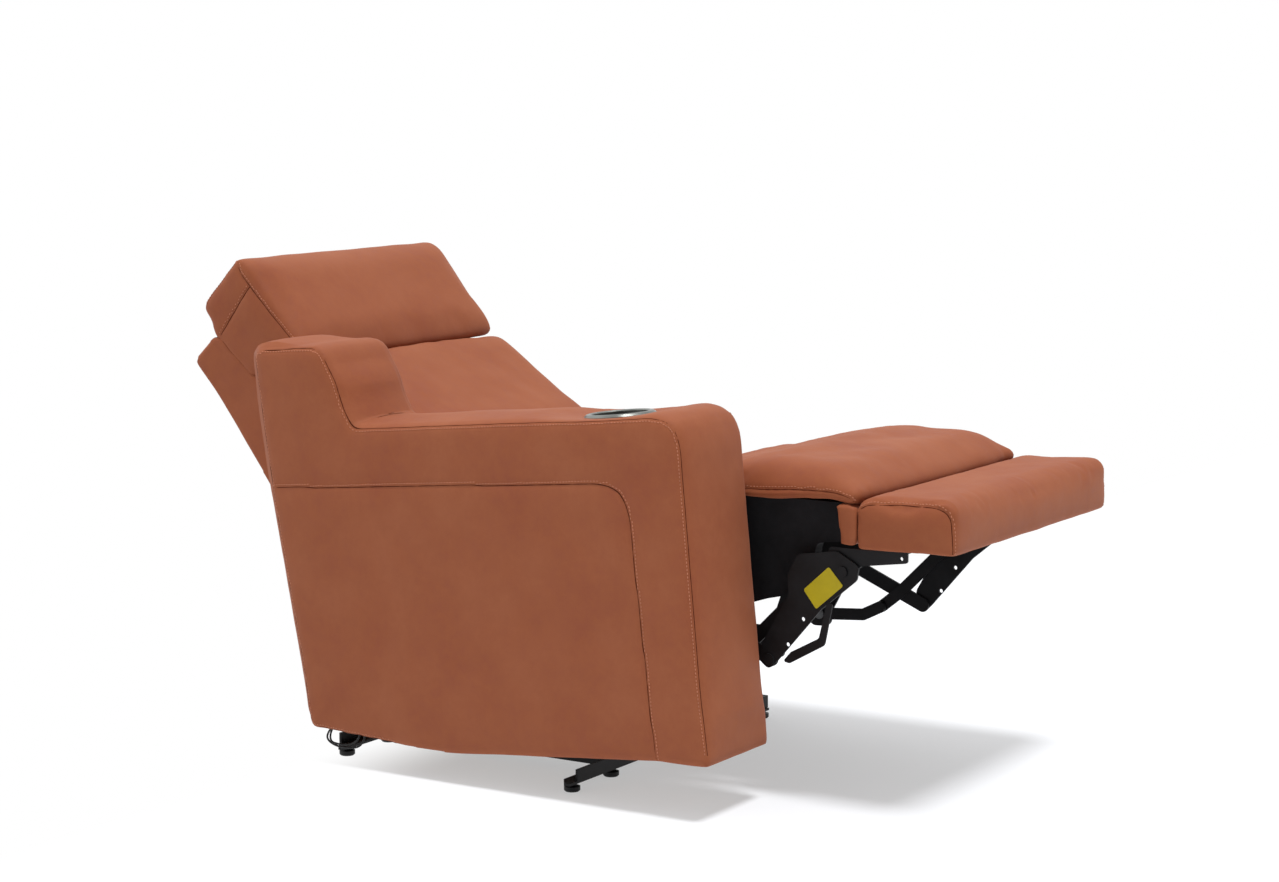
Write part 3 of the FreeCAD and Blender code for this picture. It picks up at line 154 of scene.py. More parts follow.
def ramp(tree, fac, stops):
    node = add(tree, "ShaderNodeValToRGB", Fac=fac)
    elements = node.color_ramp.elements
    while len(elements) > len(stops):
        elements.remove(elements[-1])
    while len(elements) < len(stops):
        elements.new(0.5)
    for element, (at, colour) in zip(elements, stops):
        element.position = at
        element.color = colour
    return node


def wrapped_leather(name, dark, middle, light):
    """Full-grain cowhide, buffed and waxed: almost even in colour, a little chalky, with hardly any shine."""
    material, tree, shader = finish_named(name)
    where = add(tree, "ShaderNodeTexCoord").outputs["Object"]
    clouds = spots(tree, where, size_mm=120, detail=3.0, roughness=0.55)
    mottle = spots(tree, where, size_mm=16, detail=5.0, roughness=0.7)
    mixed = add(tree, "ShaderNodeMix", {"data_type": "FLOAT", "Factor": 0.45},
                i2=clouds.outputs["Fac"], i3=mottle.outputs["Fac"])
    colour = ramp(tree, mixed.outputs[0], [(0.32, linear(dark)), (0.5, linear(middle)), (0.7, linear(light))])
    tree.links.new(colour.outputs["Color"], shader.inputs["Base Color"])
    shine = ramp(tree, mottle.outputs["Fac"], [(0.3, grey(0.66)), (0.7, grey(0.8))])
    tree.links.new(shine.outputs["Color"], shader.inputs["Roughness"])
    shader.inputs["Specular IOR Level"].default_value = 0.3
    shader.inputs["Sheen Weight"].default_value = 0.05
    shader.inputs["Sheen Roughness"].default_value = 0.45
    shader.inputs["Sheen Tint"].default_value = (1.0, 0.86, 0.78, 1)
    # The pebbles of real hide are under 1 mm. They are drawn at 2 mm so that the picture can hold them.
    pebbles = add(tree, "ShaderNodeTexVoronoi", {"Scale": 1000.0 / 2.0, "feature": "F1"}, Vector=where)
    loose = spots(tree, where, size_mm=34, detail=2.0, roughness=0.5)
    fine = add(tree, "ShaderNodeBump", {"Strength": 0.2, "Distance": 0.3 * MM},
               Height=pebbles.outputs["Distance"])
    bump = add(tree, "ShaderNodeBump", {"Strength": 0.3, "Distance": 3 * MM},
               Height=loose.outputs["Fac"], Normal=fine.outputs["Normal"])
    tree.links.new(bump.outputs["Normal"], shader.inputs["Normal"])
    return material


def plain_finish(name, colour, roughness, metallic=0.0, grain_mm=1.5, bump=0.1, shade=0.15, specular=0.5):
    """A finish of one colour, a little uneven in colour and roughness, with a fine surface grain."""
    material, tree, shader = finish_named(name)
    where = add(tree, "ShaderNodeTexCoord").outputs["Object"]
    uneven = spots(tree, where, size_mm=40, detail=4.0, roughness=0.6)
    base = linear(colour)
    low = tuple(c * (1 - shade) for c in base[:3]) + (1,)
    high = tuple(min(1.0, c * (1 + shade)) for c in base[:3]) + (1,)
    tint = ramp(tree, uneven.outputs["Fac"], [(0.35, low), (0.65, high)])
    tree.links.new(tint.outputs["Color"], shader.inputs["Base Color"])
    rough = ramp(tree, uneven.outputs["Fac"],
                 [(0.3, grey(roughness * 0.85)), (0.7, grey(min(1, roughness * 1.15)))])
    tree.links.new(rough.outputs["Color"], shader.inputs["Roughness"])
    shader.inputs["Metallic"].default_value = metallic
    shader.inputs["Specular IOR Level"].default_value = specular
    grain = spots(tree, where, grain_mm, detail=2.0)
    fine = add(tree, "ShaderNodeBump", {"Strength": bump, "Distance": 0.5 * MM}, Height=grain.outputs["Fac"])
    tree.links.new(fine.outputs["Normal"], shader.inputs["Normal"])
    return material


# Brown hide, buffed dull
HIDE = wrapped_leather("waxed_cowhide", dark="8C482C", middle="935030", light="9A5838")
# Lighter than the hide, so that the rows of stitches can be told from it
THREAD = plain_finish("bonded_thread", "B8785C", roughness=0.7, grain_mm=0.8, bump=0.3, specular=0.2)
# Painted shade: the dark bottom of a fold, where no light comes, laid along each seam as a dark tube
SEAM_SHADE = plain_finish("painted_seam_shade", "4E2010", roughness=0.9, grain_mm=0.8, specular=0.1)
# Satin black with a slight orange peel
BLACK_STEEL = plain_finish("powder_coated_steel", "19191B", roughness=0.55, grain_mm=1.2, bump=0.12,
                           shade=0.3, specular=0.22)
# Grey, soft gloss
ZINC = plain_finish("zinc_plated_steel", "7E8082", roughness=0.38, metallic=1.0, grain_mm=0.9)
# The cup's ring, which mirrors the room in a blurred way
STAINLESS = plain_finish("spun_stainless_steel", "7C7E7A", roughness=0.34, metallic=1.0, grain_mm=0.6,
                         bump=0.08)
# Fine spark texture of a mould
PLASTIC = plain_finish("moulded_nylon", "111113", roughness=0.5, grain_mm=0.7, bump=0.15, specular=0.3)
# Felt-like and without any shine
CLOTH = plain_finish("needled_black_cloth", "28282A", roughness=0.95, grain_mm=0.9, bump=0.7, specular=0.08)
# Coarse dark weave
WEB = plain_finish("woven_web", "2A2A2C", roughness=0.9, grain_mm=1.4, bump=0.6, specular=0.2)
# Wood fibres under black stain
STAINED = plain_finish("black_stained_board", "161617", roughness=0.85, grain_mm=2.0, bump=0.3,
                       specular=0.12)
# Pale veneer inside the back
PLYWOOD = plain_finish("birch_plywood", "C09A68", roughness=0.65, grain_mm=3.0, bump=0.25)
# Even yellow, smooth
YELLOW = plain_finish("printed_vinyl_patch", "C2B01A", roughness=0.45, grain_mm=1.0, shade=0.06,
                      specular=0.3)

SLOT_FINISH = {
    "leather": HIDE, "wood": PLYWOOD, "black_steel": BLACK_STEEL, "zinc_steel": ZINC, "stainless": STAINLESS,
    "black_plastic": PLASTIC, "black_cloth": CLOTH, "black_rubber": PLASTIC,
}
# Nodes whose finish isn't their slot's
NODE_FINISH = {
    "seat_webbing": WEB, "seat_box": STAINED, "recline_motor_rod": ZINC, "headrest_motor_rod": ZINC,
}


def dress_cad_nodes():
    for entry in frame["record"]["subparts"]:
        node = frame["nodes"][entry["node"]]
        finish = NODE_FINISH.get(entry["node"], SLOT_FINISH[entry["material_slot"]])
        if not node.data.materials:
            node.data.materials.append(finish)
        for slot in node.material_slots:
            slot.material = finish


# Soft pieces
def evaluated(obj):
    """Apply all the modifiers of a piece to its mesh."""
    depsgraph = bpy.context.evaluated_depsgraph_get()
    mesh = bpy.data.meshes.new_from_object(obj.evaluated_get(depsgraph))
    old = obj.data
    obj.modifiers.clear()
    obj.data = mesh
    bpy.data.meshes.remove(old)


def blank_from(node, name):
    """A closed copy of a soft solid, to be worked on."""
    shape = bmesh.new()
    shape.from_mesh(frame["nodes"][node].data)
    bmesh.ops.remove_doubles(shape, verts=shape.verts, dist=0.01 * MM)
    bmesh.ops.recalc_face_normals(shape, faces=shape.faces)
    return put(name, mesh_from(shape, name))


def skin_over(obj, voxel_mm, smooth=2, lean=0.0):
    """Give the piece an even skin. Lean is how far its faces slope, so that the skin's rows run with them."""
    obj.data.transform(Matrix.Rotation(math.radians(-lean), 4, "X"))
    remesh = obj.modifiers.new("skin", "REMESH")
    remesh.mode = "VOXEL"
    remesh.voxel_size = voxel_mm * MM
    if smooth:
        even = obj.modifiers.new("even", "SMOOTH")
        even.factor = 0.5
        even.iterations = smooth
    evaluated(obj)
    obj.data.transform(Matrix.Rotation(math.radians(lean), 4, "X"))
    return obj


def coordinates(mesh):
    co = np.empty(len(mesh.vertices) * 3)
    mesh.vertices.foreach_get("co", co)
    return co.reshape(-1, 3)


def normals(mesh):
    out = np.empty(len(mesh.vertices) * 3, dtype=np.float32)
    mesh.vertex_normals.foreach_get("vector", out)
    return out.reshape(-1, 3).astype(float)


def set_coordinates(mesh, co):
    mesh.vertices.foreach_set("co", co.ravel())
    mesh.update()


def swell(obj, pressure, cap_mm, free, frames=18, tension=12):
    """Blow the piece up like a filled cover. Free says how far each point may follow, from 0 to 1."""
    before = coordinates(obj.data).copy()
    cloth = obj.modifiers.new("cover", "CLOTH")
    cloth.settings.use_pressure = True
    cloth.settings.uniform_pressure_force = pressure
    cloth.settings.effector_weights.gravity = 0
    cloth.settings.tension_stiffness = tension
    cloth.settings.compression_stiffness = tension
    cloth.settings.quality = 4
    scene = bpy.context.scene
    cloth.point_cache.frame_start, cloth.point_cache.frame_end = 1, frames
    for step in range(1, frames + 1):
        scene.frame_set(step)
    depsgraph = bpy.context.evaluated_depsgraph_get()
    after = coordinates(obj.evaluated_get(depsgraph).data).copy()
    obj.modifiers.clear()
    scene.frame_set(1)
    move = after - before
    length = np.linalg.norm(move, axis=1, keepdims=True)
    cap = cap_mm * MM
    move *= cap * np.tanh(length / cap) / np.maximum(length, 1e-9)
    set_coordinates(obj.data, before + move * free(shop(obj))[:, None])


def shop(obj):
    """The piece's points in the maker's millimetres."""
    points = coordinates(obj.data) / MM
    points[:, 1] += MIDDLE_Y
    return points


def keep(obj, points):
    """Give the piece its points back, from the maker's millimetres."""
    points = points.copy()
    points[:, 1] -= MIDDLE_Y
    set_coordinates(obj.data, points * MM)


def nudge(points, spots):
    """Draw the filling by (dy, dz) near (y, z), all across the piece. A spot is (y, z, dy, dz, reach)."""
    moved = points.copy()
    for y, z, dy, dz, reach in spots:
        near = np.exp(-((points[:, 1] - y) ** 2 + (points[:, 2] - z) ** 2) / reach ** 2)
        moved[:, 1] += dy * near
        moved[:, 2] += dz * near
    return moved


def soften(obj, times, weight):
    """Even out the filling where weight is 1, by drawing each point to the middle of its neighbours."""
    ends = np.empty(len(obj.data.edges) * 2, dtype=int)
    obj.data.edges.foreach_get("vertices", ends)
    a, b = ends.reshape(-1, 2).T
    points = shop(obj)
    count = np.maximum(np.bincount(a, minlength=len(points)) + np.bincount(b, minlength=len(points)), 1)
    share = 0.5 * weight(points)
    for _ in range(times):
        for k in range(3):
            total = np.bincount(a, points[b, k], len(points)) + np.bincount(b, points[a, k], len(points))
            points[:, k] += share * (total / count - points[:, k])
    keep(obj, points)


def to_side(points, sides):
    """How far each point is in from the nearer side."""
    return np.minimum(points[:, 0] - sides[0], sides[1] - points[:, 0])


def round_edges(points, outline, sides, radius):
    """Round the long edges, where the sides meet the band that goes round."""
    radius = np.broadcast_to(np.asarray(radius, float), (len(points),))
    for side, sign in ((sides[0], 1), (sides[1], -1)):
        depth, way = inside_distance(points[:, 1:], outline)
        across = (points[:, 0] - side) * sign
        corner = (across < radius) & (depth < radius)
        dx, dd = radius - across, radius - depth
        length = np.hypot(dx, dd)
        pull = np.where(corner & (length > radius), 1 - radius / np.maximum(length, 1e-9), 0.0)
        points[:, 0] += sign * dx * pull
        points[:, 1:] -= way * (dd * pull)[:, None]
    return points


def fill_out(points, outline, sides, grow, crown, bulge, weight=1.0, power=3):
    """Fill the band out by grow, and by crown more along its middle, and the sides by bulge."""
    depth, way = inside_distance(points[:, 1:], outline)
    middle, half = (sides[0] + sides[1]) / 2, (sides[1] - sides[0]) / 2
    share = np.clip((points[:, 0] - middle) / half, -1, 1)
    rim = np.clip(1 - depth / 14, 0, 1) * weight
    points[:, 1:] += way * ((grow + crown * (1 - np.abs(share) ** power)) * rim)[:, None]
    face = np.clip(1 - (half - np.abs(points[:, 0] - middle)) / 8, 0, 1)
    points[:, 0] += np.sign(share) * bulge * (1 - np.exp(-np.clip(depth, 0, None) / 40)) * face
    return points


def ripple(points, size_mm, seed, octaves=3):
    """Smooth unevenness between -1 and 1, its humps about size_mm apart."""
    rng = np.random.default_rng(seed)
    total = np.zeros(len(points))
    weight = 0.0
    for octave in range(octaves):
        for _ in range(6):
            direction = rng.normal(size=3)
            direction /= np.linalg.norm(direction)
            wave = 2 * math.pi / (size_mm * MM * (0.6 ** octave)) * rng.uniform(0.6, 1.4)
            total += np.sin(points @ direction * wave + rng.uniform(0, 6.28)) * 0.6 ** octave
        weight += 6 * 0.6 ** octave * 0.5
    return total / weight


def resampled(path, step_mm):
    """Points every step_mm along a path of Vectors."""
    points = [np.array(p) for p in path]
    runs = [np.linalg.norm(b - a) for a, b in zip(points, points[1:])]
    total = sum(runs)
    count = max(2, int(total / (step_mm * MM)) + 1)
    out = []
    at, run = 0.0, 0
    for i in range(count):
        target = total * i / (count - 1)
        while run < len(runs) - 1 and at + runs[run] < target:
            at += runs[run]
            run += 1
        share = (target - at) / max(runs[run], 1e-9)
        out.append(points[run] + (points[run + 1] - points[run]) * min(share, 1.0))
    return np.array(out)


def nearest_distance(points, line):
    """Distance from each point to the nearest of the line's points, in blocks."""
    out = np.empty(len(points))
    for start in range(0, len(points), 4000):
        block = points[start:start + 4000]
        out[start:start + 4000] = np.sqrt(((block[:, None] - line[None]) ** 2).sum(-1)).min(1)
    return out


def refine_near(obj, lines, reach_mm):
    """Split the faces along the seams so that they can hold a fold."""
    co = coordinates(obj.data)
    near = np.zeros(len(co), bool)
    for line in lines:
        low, high = line.min(0) - 20 * MM, line.max(0) + 20 * MM
        box = np.all((co > low) & (co < high), axis=1)
        index = np.nonzero(box)[0]
        if len(index):
            near[index] |= nearest_distance(co[index], line) < reach_mm * MM
    shape = bmesh.new()
    shape.from_mesh(obj.data)
    shape.verts.ensure_lookup_table()
    edges = [e for e in shape.edges if near[e.verts[0].index] and near[e.verts[1].index]]
    bmesh.ops.subdivide_edges(shape, edges=edges, cuts=1, use_grid_fill=True)
    shape.to_mesh(obj.data)
    shape.free()
    obj.data.update()


def press_seams(obj, lines, width_mm, depth_mm, pull_mm=0.0, pull_width_mm=22):
    """Press a narrow fold along each line, and draw the filling down towards it."""
    co = coordinates(obj.data)
    out = normals(obj.data)
    nearest = np.full(len(co), 1.0)
    for line in lines:
        low, high = line.min(0) - 80 * MM, line.max(0) + 80 * MM
        index = np.nonzero(np.all((co > low) & (co < high), axis=1))[0]
        if len(index):
            nearest[index] = np.minimum(nearest[index], nearest_distance(co[index], line))
    mm = nearest / MM
    press = depth_mm * np.exp(-(mm / width_mm) ** 2) + pull_mm * np.exp(-(mm / pull_width_mm) ** 2)
    set_coordinates(obj.data, co - out * (press * MM)[:, None])


def surface_of(obj):
    return BVHTree.FromPolygons([v.co for v in obj.data.vertices], [p.vertices for p in obj.data.polygons])


def seam_shade_line(name, surface, path, body, thick_mm=1.5, sink_mm=0.4):
    """A dark tube of painted shade where two panels are sewn together, along the bottom of the fold."""
    found = []
    for point in resampled(path, step_mm=7):
        hit, normal, _, _ = surface.find_nearest(Vector(point))
        if hit is not None:
            found.append(np.array(hit - normal * (sink_mm * MM)))
    found = np.array(found)
    for _ in range(2):
        found[1:-1] = (found[:-2] + 2 * found[1:-1] + found[2:]) / 4
    curve = bpy.data.curves.new(name, "CURVE")
    curve.dimensions = "3D"
    curve.bevel_depth = thick_mm / 2 * MM
    curve.bevel_resolution = 1
    curve.use_fill_caps = True
    spline = curve.splines.new("POLY")
    spline.points.add(len(found) - 1)
    for at, point in zip(spline.points, found):
        at.co = (*point, 1.0)
    drawn = bpy.data.objects.new(name, curve)
    mesh = bpy.data.meshes.new_from_object(drawn)
    bpy.data.objects.remove(drawn)
    bpy.data.curves.remove(curve)
    line = put(name, mesh)
    mesh.materials.clear()
    # The tube's dark colour is painted shade.
    mesh.materials.append(SEAM_SHADE)
    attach(line, body)


def stitch_row(name, surface, path, side_mm, body, pitch_mm=5.5, length_mm=3.4, thick_mm=1.3):
    """A row of thread stitches lying on the piece beside a seam."""
    points = resampled(path, pitch_mm)
    rows = bmesh.new()
    bmesh.ops.create_cube(rows, size=1.0)
    bmesh.ops.bevel(rows, geom=rows.edges[:], offset=0.28, segments=1, affect="EDGES", profile=0.5,
                    material=-1)
    stitch = bpy.data.meshes.new(name + "_one")
    rows.to_mesh(stitch)
    rows.clear()
    for i in range(len(points) - 1):
        middle = Vector((points[i] + points[i + 1]) / 2)
        run = Vector(points[i + 1] - points[i])
        if run.length < 1e-6:
            continue
        hit, normal, _, _ = surface.find_nearest(middle)
        if hit is None or (hit - middle).length > 30 * MM:
            continue
        run.normalize()
        across = normal.cross(run)
        spot, normal, _, _ = surface.find_nearest(hit + across * (side_mm * MM))
        run = (run - normal * run.dot(normal)).normalized()
        across = normal.cross(run)
        turn = Matrix((run, across, normal)).transposed().to_4x4()
        size = Matrix.Diagonal((length_mm * MM, thick_mm * MM, thick_mm * MM * 0.9, 1.0))
        before = len(rows.verts)
        rows.from_mesh(stitch)
        rows.verts.ensure_lookup_table()
        lift = Matrix.Translation(spot + normal * (0.1 * MM))
        bmesh.ops.transform(rows, matrix=lift @ turn @ size, verts=rows.verts[before:])
    mesh = mesh_from(rows, name)
    bpy.data.meshes.remove(stitch)
    row = put(name, mesh)
    mesh.materials.append(THREAD)
    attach(row, body)


def sew(name, surface, body, path, side_mm):
    """A seam, its shade painted as a dark tube, and its row of stitches, side_mm beside it."""
    seam_shade_line(name + "_seam", surface, path, body)
    stitch_row(name + "_stitches", surface, path, side_mm, body)


def dress(obj, body, node):
    """Cover a soft piece in hide. It rides on the body and stands for the node."""
    obj.data.materials.clear()
    obj.data.materials.append(HIDE)
    obj.data.polygons.foreach_set("use_smooth", [True] * len(obj.data.polygons))
    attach(obj, body)
    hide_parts(node)


# Outlines shared by the pieces, as (y, z)
ARM_OUTLINE = [(2, 24), (2, 538), (598, 538), (648, 668), (789, 672), (777, 447), (737, 62), (690, 55),
               (562, 33), (473, 24)]
ARM_RADII = [6, 58, 16, 34, 14, 0, 10, 0, 0, 0]
WING_SET_BACK = [(596, 540, 5, 0, 26), (612, 580, 8, 0, 34), (640, 648, 7, 0, 34)]
ARM_CORNER = [(16, 524, -5, 5, 28), (2, 24, -7, -7, 60), (737, 62, 5, -1, 60)]
HEADREST_OUTLINE = [(1023, 803), (1100, 719), (1060, 665), (998, 605), (899, 650)]
HEADREST_RADII = [14, 14, 10, 10, 12]
FOOTREST_OUTLINE = [(-153, 402), (-153, 477), (-305, 479), (-317, 407)]
FOOTREST_RADII = [4, 12, 22, 14]
# The x of the soft pieces' two sides
SOFT_SIDES = (SEAT_NEAR_X + 1, SEAT_FAR_X - 1)


def rounded(points, radii, steps=7):
    """A closed outline whose corners are rounded, as a list of (y, z)."""
    out = []
    count = len(points)
    for i, corner in enumerate(points):
        p = np.array(corner, float)
        if radii[i] <= 0:
            out.append(p)
            continue
        a, b = np.array(points[i - 1], float) - p, np.array(points[(i + 1) % count], float) - p
        a, b = a / np.linalg.norm(a), b / np.linalg.norm(b)
        half = math.acos(max(-1, min(1, float(a @ b)))) / 2
        reach = radii[i] / math.tan(half)
        centre = p + (a + b) / np.linalg.norm(a + b) * radii[i] / math.sin(half)
        start, end = p + a * reach - centre, p + b * reach - centre
        first = math.atan2(start[1], start[0])
        sweep = (math.atan2(end[1], end[0]) - first + math.pi) % (2 * math.pi) - math.pi
        for k in range(steps + 1):
            t = first + sweep * k / steps
            out.append(centre + radii[i] * np.array((math.cos(t), math.sin(t))))
    return np.array(out)


def inside_distance(points, outline):
    """Distance of (y, z) points to a closed outline, positive inside, with the way to its nearest point."""
    best = np.full(len(points), 1e9)
    way = np.zeros_like(points)
    crossings = np.zeros(len(points), int)
    for a, b in zip(outline, np.roll(outline, -1, axis=0)):
        run = b - a
        share = np.clip(((points - a) @ run) / max(run @ run, 1e-9), 0, 1)
        foot = a + share[:, None] * run
        d = np.linalg.norm(points - foot, axis=1)
        closer = d < best
        best[closer] = d[closer]
        way[closer] = foot[closer] - points[closer]
        crosses = (a[1] > points[:, 1]) != (b[1] > points[:, 1])
        if run[1] != 0:
            at = a[0] + (points[:, 1] - a[1]) / run[1] * run[0]
            crossings += crosses & (points[:, 0] < at)
    sign = np.where(crossings % 2 == 1, 1.0, -1.0)
    length = np.maximum(np.linalg.norm(way, axis=1, keepdims=True), 1e-9)
    return best * sign, way / length * sign[:, None]


def level(co):
    """Arm points back in the level arm's own millimetres."""
    mm = co / MM
    return np.column_stack((mm[:, 0], *turned(mm[:, 1] + MIDDLE_Y, mm[:, 2], TILT)))


def leaned(points):
    """The level arm's points as they stand in the scene."""
    y, z = turned(points[:, 1], points[:, 2], -TILT)
    return np.column_stack((points[:, 0], y - MIDDLE_Y, z)) * MM


def make_arm():
    """The arm and its wing: leather drawn over foam, fuller along the middle of its band."""
    obj = skin_over(blank_from("arm_upholstery", "arm_cover"), voxel_mm=5.5, smooth=4, lean=-TILT)
    sides = (ARM_OUTER_X, SEAT_NEAR_X)
    outline = rounded(ARM_OUTLINE, ARM_RADII)
    points = level(coordinates(obj.data))
    height = points[:, 2]
    # The band is fuller along its middle and at its rear, low along the wing's top and flat round the cup.
    ring = np.hypot(points[:, 0] - ARM_MIDDLE_X, points[:, 1] - CUP_Y)
    weight = grade(height, 30, 60) * np.where(height > 450, grade(ring, 62, 70), 1.0)
    rear = grade(points[:, 1], 700, 50) * (5 + 2.5 * grade(height, 420, 60))
    points = fill_out(points, outline, sides, grow=4.5 + rear, crown=9 - 6 * grade(height, 600, 40),
                      bulge=np.where(points[:, 0] < ARM_MIDDLE_X, 3.5, 0.8), weight=weight, power=2)
    # The edge beside the seat is the rounder one.
    radius = np.where(points[:, 0] > ARM_MIDDLE_X, 13.0 + 13.0 * grade(height, 500, 60), 9.0)
    radius *= np.clip((height - 20) / 40, 0.2, 1)
    points = round_edges(points, rounded_out(outline, 4.5), (sides[0] - 1, sides[1] + 1), radius)
    points = nudge(nudge(points, WING_SET_BACK), ARM_CORNER)
    set_coordinates(obj.data, leaned(points))
    soften(obj, times=14, weight=lambda points: grade(points[:, 1], 740, 30) * grade(points[:, 0], -320, 50))
    panel = [(781, 449), (500, 446.5), (160, 444), (130, 441), (112, 431), (101, 414), (97, 392), (87, 24)]
    paths = [[arm_place(sides[0] - 4, y, z) for y, z in panel]]
    edge = divided(rounded_out(outline, 3), step=6)
    edge = nudge(nudge(np.column_stack((edge[:, 0], edge)), WING_SET_BACK), ARM_CORNER)[:, 1:]
    edge = [p for p in edge if p[1] > 32]
    # The seam starts at the foot of the arm's front and goes over the top to the foot of its rear.
    start = int(np.argmin([p[1] + (p[0] > 400) * 900 for p in edge]))
    edge = edge[start:] + edge[:start]
    edge = edge[::-1] if edge[1][1] < edge[-1][1] - 5 else edge
    paths.append([arm_place(sides[0] + 1, y, z) for y, z in edge])
    lines = [resampled(path, step_mm=3) for path in paths]
    refine_near(obj, lines, reach_mm=9)
    press_seams(obj, lines, width_mm=2.8, depth_mm=1.8, pull_mm=1.2, pull_width_mm=15)
    roughen(obj, size_mm=150, seed=3, height_mm=0.7)
    dress(obj, "carriage", "arm_upholstery")
    surface = surface_of(obj)
    for name, path in zip(("arm_panel", "arm_edge"), paths):
        sew(name, surface, "carriage", path, side_mm=4.5)


def divided(outline, step):
    """A closed outline with its long runs divided."""
    out = []
    for a, b in zip(outline, np.roll(outline, -1, axis=0)):
        count = max(1, int(np.linalg.norm(b - a) / step))
        out += [a + (b - a) * i / count for i in range(count)]
    return np.array(out)


def rounded_out(outline, by):
    """The outline moved outwards by a few millimetres."""
    ahead, behind = np.roll(outline, -1, axis=0), np.roll(outline, 1, axis=0)
    run = ahead - behind
    out = np.stack((-run[:, 1], run[:, 0]), 1)
    out /= np.maximum(np.linalg.norm(out, axis=1, keepdims=True), 1e-9)
    area = np.sum(outline[:, 0] * ahead[:, 1] - ahead[:, 0] * outline[:, 1])
    return outline - out * (np.sign(area) * by)


def side_paths(points, x):
    return [place(x, y, z) for y, z in points]


def roughen(obj, size_mm, seed, height_mm):
    """Uneven filling, with humps and hollows of about height_mm."""
    co = coordinates(obj.data)
    out = normals(obj.data)
    set_coordinates(obj.data, co + out * (ripple(co, size_mm, seed) * height_mm * MM)[:, None])


def ease_sides(points, sides, reach, drop, above):
    """Let the top fall away towards the sides, as on a pillow."""
    out = points.copy()
    fall = np.clip(1 - to_side(points, sides) / reach, 0, 1) ** 2 * grade(points[:, 2], above, 22)
    out[:, 2] -= drop * fall
    return out


def make_pad():
    """Knee pad at the front of the seat: a domed top sewn to a low boxing."""
    obj = skin_over(blank_from("front_pad", "knee_pad"), voxel_mm=5.0, smooth=10)
    swell(obj, pressure=4.0, cap_mm=12, free=lambda points: grade(points[:, 2], 474, 20))
    points = nudge(shop(obj), [(-110, 502, -1, 13, 50), (-20, 512, 0, 3, 60), (-152, 484, -3, 4, 20)])
    points = ease_sides(points, SOFT_SIDES, reach=50, drop=8, above=486)
    keep(obj, points)
    soften(obj, times=60, weight=lambda points: grade(points[:, 2], 484, 14))
    # The boxing hangs a little over the deck and the apron.
    points = shop(obj)
    hang = grade(-points[:, 2], -486, 16) * ((to_side(points, SOFT_SIDES) < 25) | (points[:, 1] < -125))
    points[:, 2] -= hang * (5 + 7 * grade(-points[:, 1], 60, 80)) * grade(-points[:, 1], -90, 60)
    ends = np.exp(-((points[:, 1] + 150) / 34) ** 2) * np.clip(1 - to_side(points, SOFT_SIDES) / 40, 0, 1)
    points = nudge(points, [(-156, 478, -7, -4, 26), (-60, 512, 0, 5, 70), (148, 482, 6, 0, 34)])
    points[:, 1] -= np.where(points[:, 0] > SEAT_MIDDLE_X, 12, 5) * ends
    keep(obj, points)
    boxing = [(150, 462), (80, 472), (33, 481), (1, 480), (-45, 485), (-91, 486), (-125, 482), (-142, 476),
              (-150, 464)]
    paths = [side_paths(boxing, x) for x in (SOFT_SIDES[0] + 1, SOFT_SIDES[1] - 1)]
    folds = [
        [place(-186, 60, 490), place(-150, 25, 508), place(-105, 5, 516)],
        [place(-186, 95, 485), place(-140, 75, 508), place(-80, 62, 518)],
        [place(368, 40, 492), place(330, 15, 510), place(290, 8, 518)],
    ]
    lines = [resampled(path, step_mm=3) for path in paths]
    refine_near(obj, lines, reach_mm=9)
    press_seams(obj, lines, width_mm=2.8, depth_mm=2.0, pull_mm=1.5, pull_width_mm=14)
    press_seams(obj, [resampled(path, step_mm=3) for path in folds], width_mm=7, depth_mm=2.6)
    roughen(obj, size_mm=90, seed=11, height_mm=1.2)
    dress(obj, "seat", "front_pad")
    surface = surface_of(obj)
    for name, path, side in (("pad_near", paths[0], 4), ("pad_far", paths[1], -4)):
        sew(name, surface, "seat", path, side_mm=side)


def make_seat_cushion():
    """Seat cushion behind the knee pad, tucked against it."""
    obj = skin_over(blank_from("seat_cushion", "seat_cover"), voxel_mm=5.0, smooth=6)
    swell(obj, pressure=4.0, cap_mm=9,
          free=lambda points: grade(points[:, 2], 400, 30) * np.clip((points[:, 1] - 150) / 30, 0.2, 1))
    soften(obj, times=10, weight=lambda points: 1.0)
    keep(obj, nudge(shop(obj), [(155, 470, -8, 3, 34), (240, 488, 0, -8, 50), (310, 466, 0, -6, 60)]))
    roughen(obj, size_mm=110, seed=5, height_mm=1.5)
    dress(obj, "seat", "seat_cushion")


def make_back_cushion():
    """Back cushion: full in the middle, soft along its edges."""
    obj = skin_over(blank_from("back_cushion", "back_cover"), voxel_mm=5.0, smooth=6, lean=31.2)
    swell(obj, pressure=4.0, cap_mm=9,
          free=lambda points: grade(points[:, 2] - 0.606 * (points[:, 1] - 500), 370, 25))
    keep(obj, nudge(shop(obj), [(893, 634, -4, 1, 16), (860, 612, -4, 7, 45), (800, 576, -3, 6, 60)]))
    soften(obj, times=18, weight=lambda points: 1.0)
    roughen(obj, size_mm=120, seed=7, height_mm=1.5)
    dress(obj, "back", "back_cushion")


